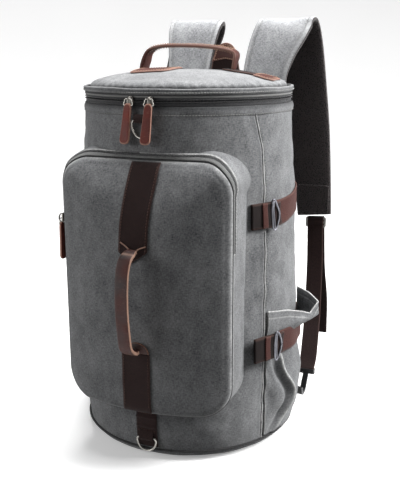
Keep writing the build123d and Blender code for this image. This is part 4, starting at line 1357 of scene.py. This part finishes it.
def make_side_strap(label, z, lift, rise, nodes):
    """Loop, buckle, strap end and strap on the right side, and their mirror images on the left."""
    def level(a):
        return z + 0 * a

    def rising(a):
        return z + rise * step(a, 72, 118)

    def lifted(extra, swell=0.0):
        return lambda a: lift + extra + swell * bell(a - 65, 2.5)

    width = 32 * MM
    pieces = [
        wrap_strap(f"{label}_loop_in", level, 53.5, 66.2, width, lifted(0.0, 1.5 * MM), 1.7 * MM,
                   "webbing", LOOP_WEBBING),
        wrap_strap(f"{label}_loop_out", level, 53.5, 66.8, width, lifted(2.0 * MM, 1.5 * MM), 1.7 * MM,
                   "webbing", LOOP_WEBBING),
        make_buckle(f"{label}_buckle_right", z, lift + 4.2 * MM),
        wrap_strap(f"{label}_strap_end", level, 68.6, 73.4, width * 0.9, lifted(2.6 * MM), 1.6 * MM,
                   "webbing", WEBBING),
        wrap_strap(f"{label}_strap", rising, 67.6, BACK_SEAM, width, lifted(0.0), 1.7 * MM,
                   "side_strap", SIDE_WEBBING, 0.6),
        wrap_strap(f"{label}_loop_fold", level, 59.6, 62.8, width, lifted(3.7 * MM), 1.2 * MM,
                   "webbing", SIDE_WEBBING),
    ]
    for piece in pieces:
        mirrored(piece, piece.name.replace("_right", "_left"))
    for piece, node in zip(pieces, nodes):
        if node:
            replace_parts(piece, node)


SIDE_POCKET = (64, 106)
SIDE_POCKET_LOW = 0.015


def side_pocket_offset(a, z):
    """How far the side pocket's cloth stands off the barrel."""
    near, far = SIDE_POCKET
    mouth = np.interp(a, (near, 72, 82, 90, 97, 102, far), (2.4, 4.5, 10.0, 19.0, 31.0, 15.0, 1.6)) * MM
    belly = np.interp(a, (near, 70, 85, 98, far), (1.6, 3.6, 6.5, 5.8, 1.6)) * MM
    under = belly * np.interp(z, (0.014, 0.05, 0.09, 0.122, 0.150), (0.5, 1.5, 1.8, 0.9, 0.7))
    share = step(z, 0.148, 0.168)
    droop = 7 * MM * bell(z - 0.160, 9 * MM) * bell(a - 91, 8)
    return under * (1 - share) + mouth * share + droop


def make_side_pocket():
    """Open pocket on the right side: its mouth flares, the lower strap draws it in."""
    near, far = SIDE_POCKET
    a, v = np.meshgrid(np.linspace(near, far, 90), np.linspace(0, 1, 90))
    mouth = (191.5, 186, 177, 171.5, 184, 192, 196.5)
    top = np.interp(a, (near, 78, 88, 92, 97, 101, far), mouth) * MM
    z = SIDE_POCKET_LOW + (top - SIDE_POCKET_LOW) * v
    p = around(a, z)
    below = (1 - step(z, 0.118, 0.135)) * step(z, 0.010, 0.024)
    fold_a = 74 + 9.2 * bell(z - 0.063, 0.030) - 6 * (1 - step(z, 0, 0.035))
    crest, hollow = 4.8 * bell(a - fold_a, 1.5), 4.0 * bell(a - fold_a + 4.2, 2.0)
    fold = below * (crest - hollow - 1.8 * bell(a - fold_a + 17, 3)) * MM
    folds = 1.8 * MM * wobble(p * (1, 1, 0.5), 24, 21) * step(a, 65, 70) * (1 - step(a, 102, 105))
    hem = 0.8 * MM * (bell(top - z - 1.2 * MM, 1.4 * MM) + 0.8 * bell(top - z - 9 * MM, 1.2 * MM))
    offset = np.maximum(side_pocket_offset(a, z) + fold + folds * bell(z - 0.07, 0.07) + hem, 1.2 * MM)
    points = around(a, z, slack(a, z) + offset + 0.6 * MM)
    edge = np.minimum(a - near, far - a)
    wear = bell(top - z, 1.2 * MM) + 0.6 * bell(edge, 0.5) + 0.5 * bell(top - z - 9.5 * MM, 0.9 * MM)
    wear = np.clip(wear + 0.9 * below * bell(a - fold_a, 0.9), 0, 1)
    # painted shade in the fold's hollow, just under the hem and under the lower strap
    dirt = 0.7 * below * bell(a - fold_a + 3.6, 1.6) + 0.4 * bell(top - z - 8 * MM, 0.8 * MM)
    dirt = np.clip(dirt + 0.8 * bell(z - 0.150, 6 * MM) * step(a, 72, 84), 0, 1)
    sheet = grid("side_pocket_cloth_right", points, unrolled(a, z), wear=wear, dirt=dirt)
    cloth = thicken(sheet, 1.6 * MM)
    dress(cloth, "bag", "canvas", CANVAS)
    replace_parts(mirrored(cloth, "side_pocket_cloth_left"), "side_pocket_left")
    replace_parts(cloth, "side_pocket_right")


def make_sides():
    nodes = ("side_loops", None, "side_buckles", None, "side_straps")
    make_side_strap("upper", UPPER_STRAP_Z, 2.4 * MM, 11 * MM, nodes)
    make_side_strap("lower", LOWER_STRAP_Z, 8.6 * MM, 0.0, ())
    make_side_pocket()


# ---- shoulder straps and back ----------------------------------------------------------------------

# Stations along a strap in mm: y, z and width here, and x by side below.
STRAP_LINE = (
    (149, 462, 66), (153, 490, 68), (163, 525, 76), (175, 551, 84), (189, 561, 87),
    (202, 552, 84), (208, 520, 78), (209, 460, 70), (206, 400, 64), (203, 330, 58), (200, 268, 53),
)
STRAP_X = {
    "right": (60, 61, 69, 79, 83, 88, 96, 107, 117, 125, 131),
    "left": (62, 62, 62, 62, 62, 66, 78, 96, 112, 124, 131),
}


def make_shoulder_strap(side, sign):
    """Foam pad: canvas on its outer face, air mesh round its edges and under it."""
    stations = [(sign * x * MM, y * MM, z * MM, w * MM) for x, (y, z, w) in zip(STRAP_X[side], STRAP_LINE)]
    line = smooth_path(stations, 130)
    widths, line = line[:, 3], line[:, :3]
    x, y = frames(line, (1, 0, 0))
    base = oval(1, 1, 44, 0.3)
    seam_in = 8 * MM
    share, through = base.T
    across = share * widths[:, None]
    edge = widths[:, None] / 2 - np.abs(across)
    p = line[:, None] + x[:, None] * across[..., None]
    puff = 10 * MM * (1 - 0.16 * (2 * np.abs(share)) ** 6) + 0.9 * MM * wobble(p, 22, 24)
    groove = 1 - 0.34 * bell(edge - seam_in, 1.6 * MM) * (through < 0)
    ends = step(np.linspace(0, 1, len(line))[:, None], 0, 0.02) * 0.4 + 0.6
    sections = np.stack([across, through * puff * groove * ends], -1)
    wear = 0.35 * bell(edge - 3.5 * MM, 1.5 * MM) * (through < -0.3)
    pad = loft(f"strap_pad_{side}", line, x, y, sections, wear=wear)
    for material in (STRAP_CANVAS_PAINTED_LIT, MESH):
        pad.data.materials.append(material)
    k = len(base)
    for polygon in pad.data.polygons:
        j = polygon.index % k
        outer = through[j] < -0.34 and through[(j + 1) % k] < -0.34
        polygon.material_index = 0 if outer and polygon.index < k * (len(line) - 1) else 1
    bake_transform(pad)
    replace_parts(pad, f"shoulder_strap_{side}")
    keep = slice(10, -4)
    seam = x[keep] * (widths[keep, None] / 2 - seam_in)
    rows = [(line[keep] + s * seam - 4.6 * MM * y[keep], -y[keep]) for s in (-1, 1)]
    stitching(f"strap_pad_stitching_{side}", rows, f"shoulder_strap_{side}", "strap_fabric", THREAD)
    make_strap_end(side, sign, line[-1], widths[-1])


def make_strap_end(side, sign, end, width):
    """Patches on both faces of the pad's end, each with a crossed box of stitches."""
    body = f"shoulder_strap_{side}"
    centre = Vector(end) + Vector((-sign * 1.5 * MM, 0, 26 * MM))
    box = rounded(width / 2 - 2 * MM, 22 * MM, 3 * MM)
    corners = [(-1, -1), (1, -1), (1, 1), (-1, 1), (-1, -1), (1, 1), (-1, 1), (1, -1)]
    path = resample(np.array(corners) * (width * 0.36, 13 * MM), 200).T
    for label, out in (("front", -1), ("rear", 1)):
        def face(u, v, lift):
            return np.stack([centre.x + u, centre.y + out * (5.6 * MM + lift) + 0 * u, centre.z + v], -1)

        patch = plate(f"strap_end_{label}_{side}", box, face, 1.2 * MM, 0.2 * MM)
        dress(patch, body, "mesh", MESH)
        row = face(*path, 1.2 * MM)
        above = face(*path, 2.2 * MM)
        stitching(f"strap_end_{label}_stitching_{side}", [(row, above - row)], body, "mesh", BLACK_THREAD)


def flat_band(name, stations):
    """A length of webbing through stations of x, y, z and width."""
    line = smooth_path(stations, 90)
    widths, line = line[:, 3:], line[:, :3]
    x, y = frames(line, (1, 0, 0))
    section = oval(1, 1, 20, 0.25)
    sections = section[None] * np.hstack([widths, np.full_like(widths, 1.8 * MM)])[:, None, :]
    wear = 0.5 * bell(np.abs(np.abs(section[:, 0]) - 0.5), 0.04)
    return loft(name, line, x, y, sections, wear=wear)


def make_strap_webbing(side, sign):
    """The run from the tri-glide down to the hook, its loose tail, and the turn over the glide's bar."""
    x, y, z = middle(f"tri_glide_{side}")
    hook = high(f"strap_hook_{side}")
    hook_x = middle(f"strap_hook_{side}")[0]
    tail_z = low(f"strap_webbing_{side}")[2] + 14 * MM
    w = 25 * MM

    def out(distance):
        return x + sign * distance * MM

    run = [
        (x, y - 3.2 * MM, z + 9 * MM, w), (x, y - 3.4 * MM, z - 10 * MM, w), (out(4), y - 17 * MM, 0.190, w),
        (out(10), 0.151, 0.120, w), (out(17), 0.106, 0.070, w),
        (hook_x, hook[1] - 7 * MM, hook[2] - 2 * MM, 22 * MM),
    ]
    tail = [
        (x, y + 3.2 * MM, z + 9 * MM, w), (out(1), y + 3.6 * MM, z - 14 * MM, w),
        (out(3), y + 8 * MM, 0.180, w), (out(9), y + 5 * MM, 0.130, w), (out(10), y + 6 * MM, tail_z, w),
    ]
    over = [(x, y - 3.0 * MM, z - 4 * MM, w), (x, y - 4.2 * MM, z, w), (x, y - 3.0 * MM, z + 4 * MM, w)]
    pieces = [flat_band(f"webbing_{i}", stations) for i, stations in enumerate((run, tail, over))]
    piece = join(f"strap_run_{side}", pieces)
    dress(piece, f"strap_webbing_{side}", "webbing", WEBBING, replaces=[f"strap_webbing_{side}"])


def make_rear_tab():
    """Domed webbing tab between the shoulder straps, capped with leather."""
    def upright(extra):
        """The tab's face, leaning and a little bowed, raised by an extra lift."""
        def face(u, v, lift):
            lean = 1.5 * MM * np.sin(v * 60)
            return np.stack([u, 0.149 - (lift + extra) + lean - 0.006 * MM * (u / MM) ** 2, v], -1)
        return face

    top = high("rear_tab")[2] / MM + 1
    dome = [(math.cos(a) * 16, top - 17 + math.sin(a) * 17) for a in np.linspace(0.15, np.pi - 0.15, 20)]
    outline = [(-25, 462), (25, 462), (23, 490), (19, 512)] + dome + [(-19, 512), (-23, 490)]
    outline = resample(np.array(outline) * MM, 90, closed=True)
    web = plate("rear_tab_webbing", outline, upright(-1.5 * MM), 3.0 * MM)
    dress(web, "rear_tab", "webbing", WEBBING, replaces=["rear_tab"])
    cap = [(math.cos(a) * 17, top - 17.5 + math.sin(a) * 18) for a in np.linspace(0, np.pi, 30)]
    cap = np.array(cap + [(-21, top - 27), (0, top - 23), (21, top - 27)]) * MM
    cap = resample(cap, 80, closed=True)
    leather_patch("rear_tab_leather", cap, upright(1.4 * MM), 1.6 * MM, "rear_tab", "rear_tab_patch")


BACK_PAD = (144, 216, 0.070, 0.425)
YOKE = (140, 220, 0.428, 0.463)


def back_area(area, columns, rows):
    """Grid of angles and heights over an area of the back, and each point's distance from its edge."""
    near, far, low_z, high_z = area
    a, z = np.meshgrid(np.linspace(near, far, columns), np.linspace(low_z, high_z, rows))
    sideways = np.radians(np.minimum(a - near, far - a)) * RIM_R
    return a, z, np.minimum(sideways, np.minimum(z - low_z, high_z - z))


def make_back():
    """Padded back in channels with its piping, and the yoke that the straps are sewn into."""
    a, z, edge = back_area(BACK_PAD, 90, 130)
    channels = bell(a - 168, 1.3) + bell(a - 192, 1.3) + bell(z - 0.19, 3 * MM) + bell(z - 0.31, 3 * MM)
    rise = 8.0 * MM * step(edge, -2 * MM, 11 * MM) * (1 - 0.6 * np.clip(channels, 0, 1))
    points = around(a, z, 0.8 * MM + rise + 0.5 * MM * wobble(around(a, z), 20, 25))
    pad = thicken(grid("back_pad_mesh", points), 2.0 * MM)
    dress(pad, "bag", "mesh", MESH, replaces=["back_pad"])
    near, far, low_z, high_z = BACK_PAD
    across, up = np.linspace(near, far, 80), np.linspace(low_z, high_z, 90)
    a = np.r_[across, np.full(90, far), across[::-1], np.full(90, near)]
    z = np.r_[np.full(80, low_z), up, np.full(80, high_z), up[::-1]]
    rim = cord_of("back_pad_piping", around(a, z, 1.6 * MM), 3.0 * MM, (0, 0.3, 1), closed=True, count=8)
    dress(rim, "bag", "piping", PIPING)
    a, z, edge = back_area(YOKE, 70, 22)
    swell = 5.5 * MM * step(edge, -MM, 7 * MM) * step(z, 0.43, 0.46)
    points = around(a, z, 2.6 * MM + swell)
    sheet = grid("yoke_cloth", points, unrolled(a, z), wear=0.8 * bell(edge, 1.2 * MM))
    yoke = thicken(sheet, 2.0 * MM)
    dress(yoke, "bag", "canvas", CANVAS, replaces=["strap_yoke"])


def make_interior():
    """Slack lining inside the barrel and over its floor."""
    a, z = np.meshgrid(full_turn(144), np.linspace(BASE_Z + 2 * MM, RIM_Z - MM, 60))
    p = around(a, z)
    slump = 1.2 * MM * wobble(p * (1, 1, 0.4), 16, 26) - 0.8 * MM * creases(p, 15, 27)
    floor_r = np.linspace(0.139, 0.002, 12)[:, None]
    floor_z = 14.4 * MM + 0.5 * MM * wobble(ringed(a[:1], floor_r, 0.0), 20, 28)
    floor = ringed(a[:1], floor_r, floor_z)[::-1]
    points = np.vstack([floor, around(a, z, -5.6 * MM + slump)])
    uv = np.concatenate([floor[..., :2], unrolled(a, z)])
    lining = thicken(grid("lining_cloth", points, uv, wrap=True), 0.8 * MM)
    dress(lining, "bag", "lining", LINING, replaces=["lining"])


def paint(names, material):
    """Give carried-over CAD nodes their finish."""
    for name in names:
        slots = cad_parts[name].data.materials
        slots.clear()
        slots.append(material)


CAD_FINISHES = (
    (("laptop_sleeve",), MESH),
    (("base_board",), FIBREBOARD),
    (("tri_glide_right", "tri_glide_left"), NICKEL),
    (("strap_hook_right", "strap_hook_left"), PLASTIC),
)


make_stage()
make_light()
make_camera()
make_barrel()
make_base()
make_mouth()
make_lid_cloth()
make_lid_edge()
make_pocket_face()
make_pocket_walls()
make_pocket_zip()
make_front_webbing()
make_front_handle()
make_top_handle()
make_pulls()
make_rings()
make_sides()
for strap_side, strap_sign in (("right", 1), ("left", -1)):
    make_shoulder_strap(strap_side, strap_sign)
    make_strap_webbing(strap_side, strap_sign)
make_rear_tab()
make_back()
make_interior()
for cad_names, finish in CAD_FINISHES:
    paint(cad_names, finish)
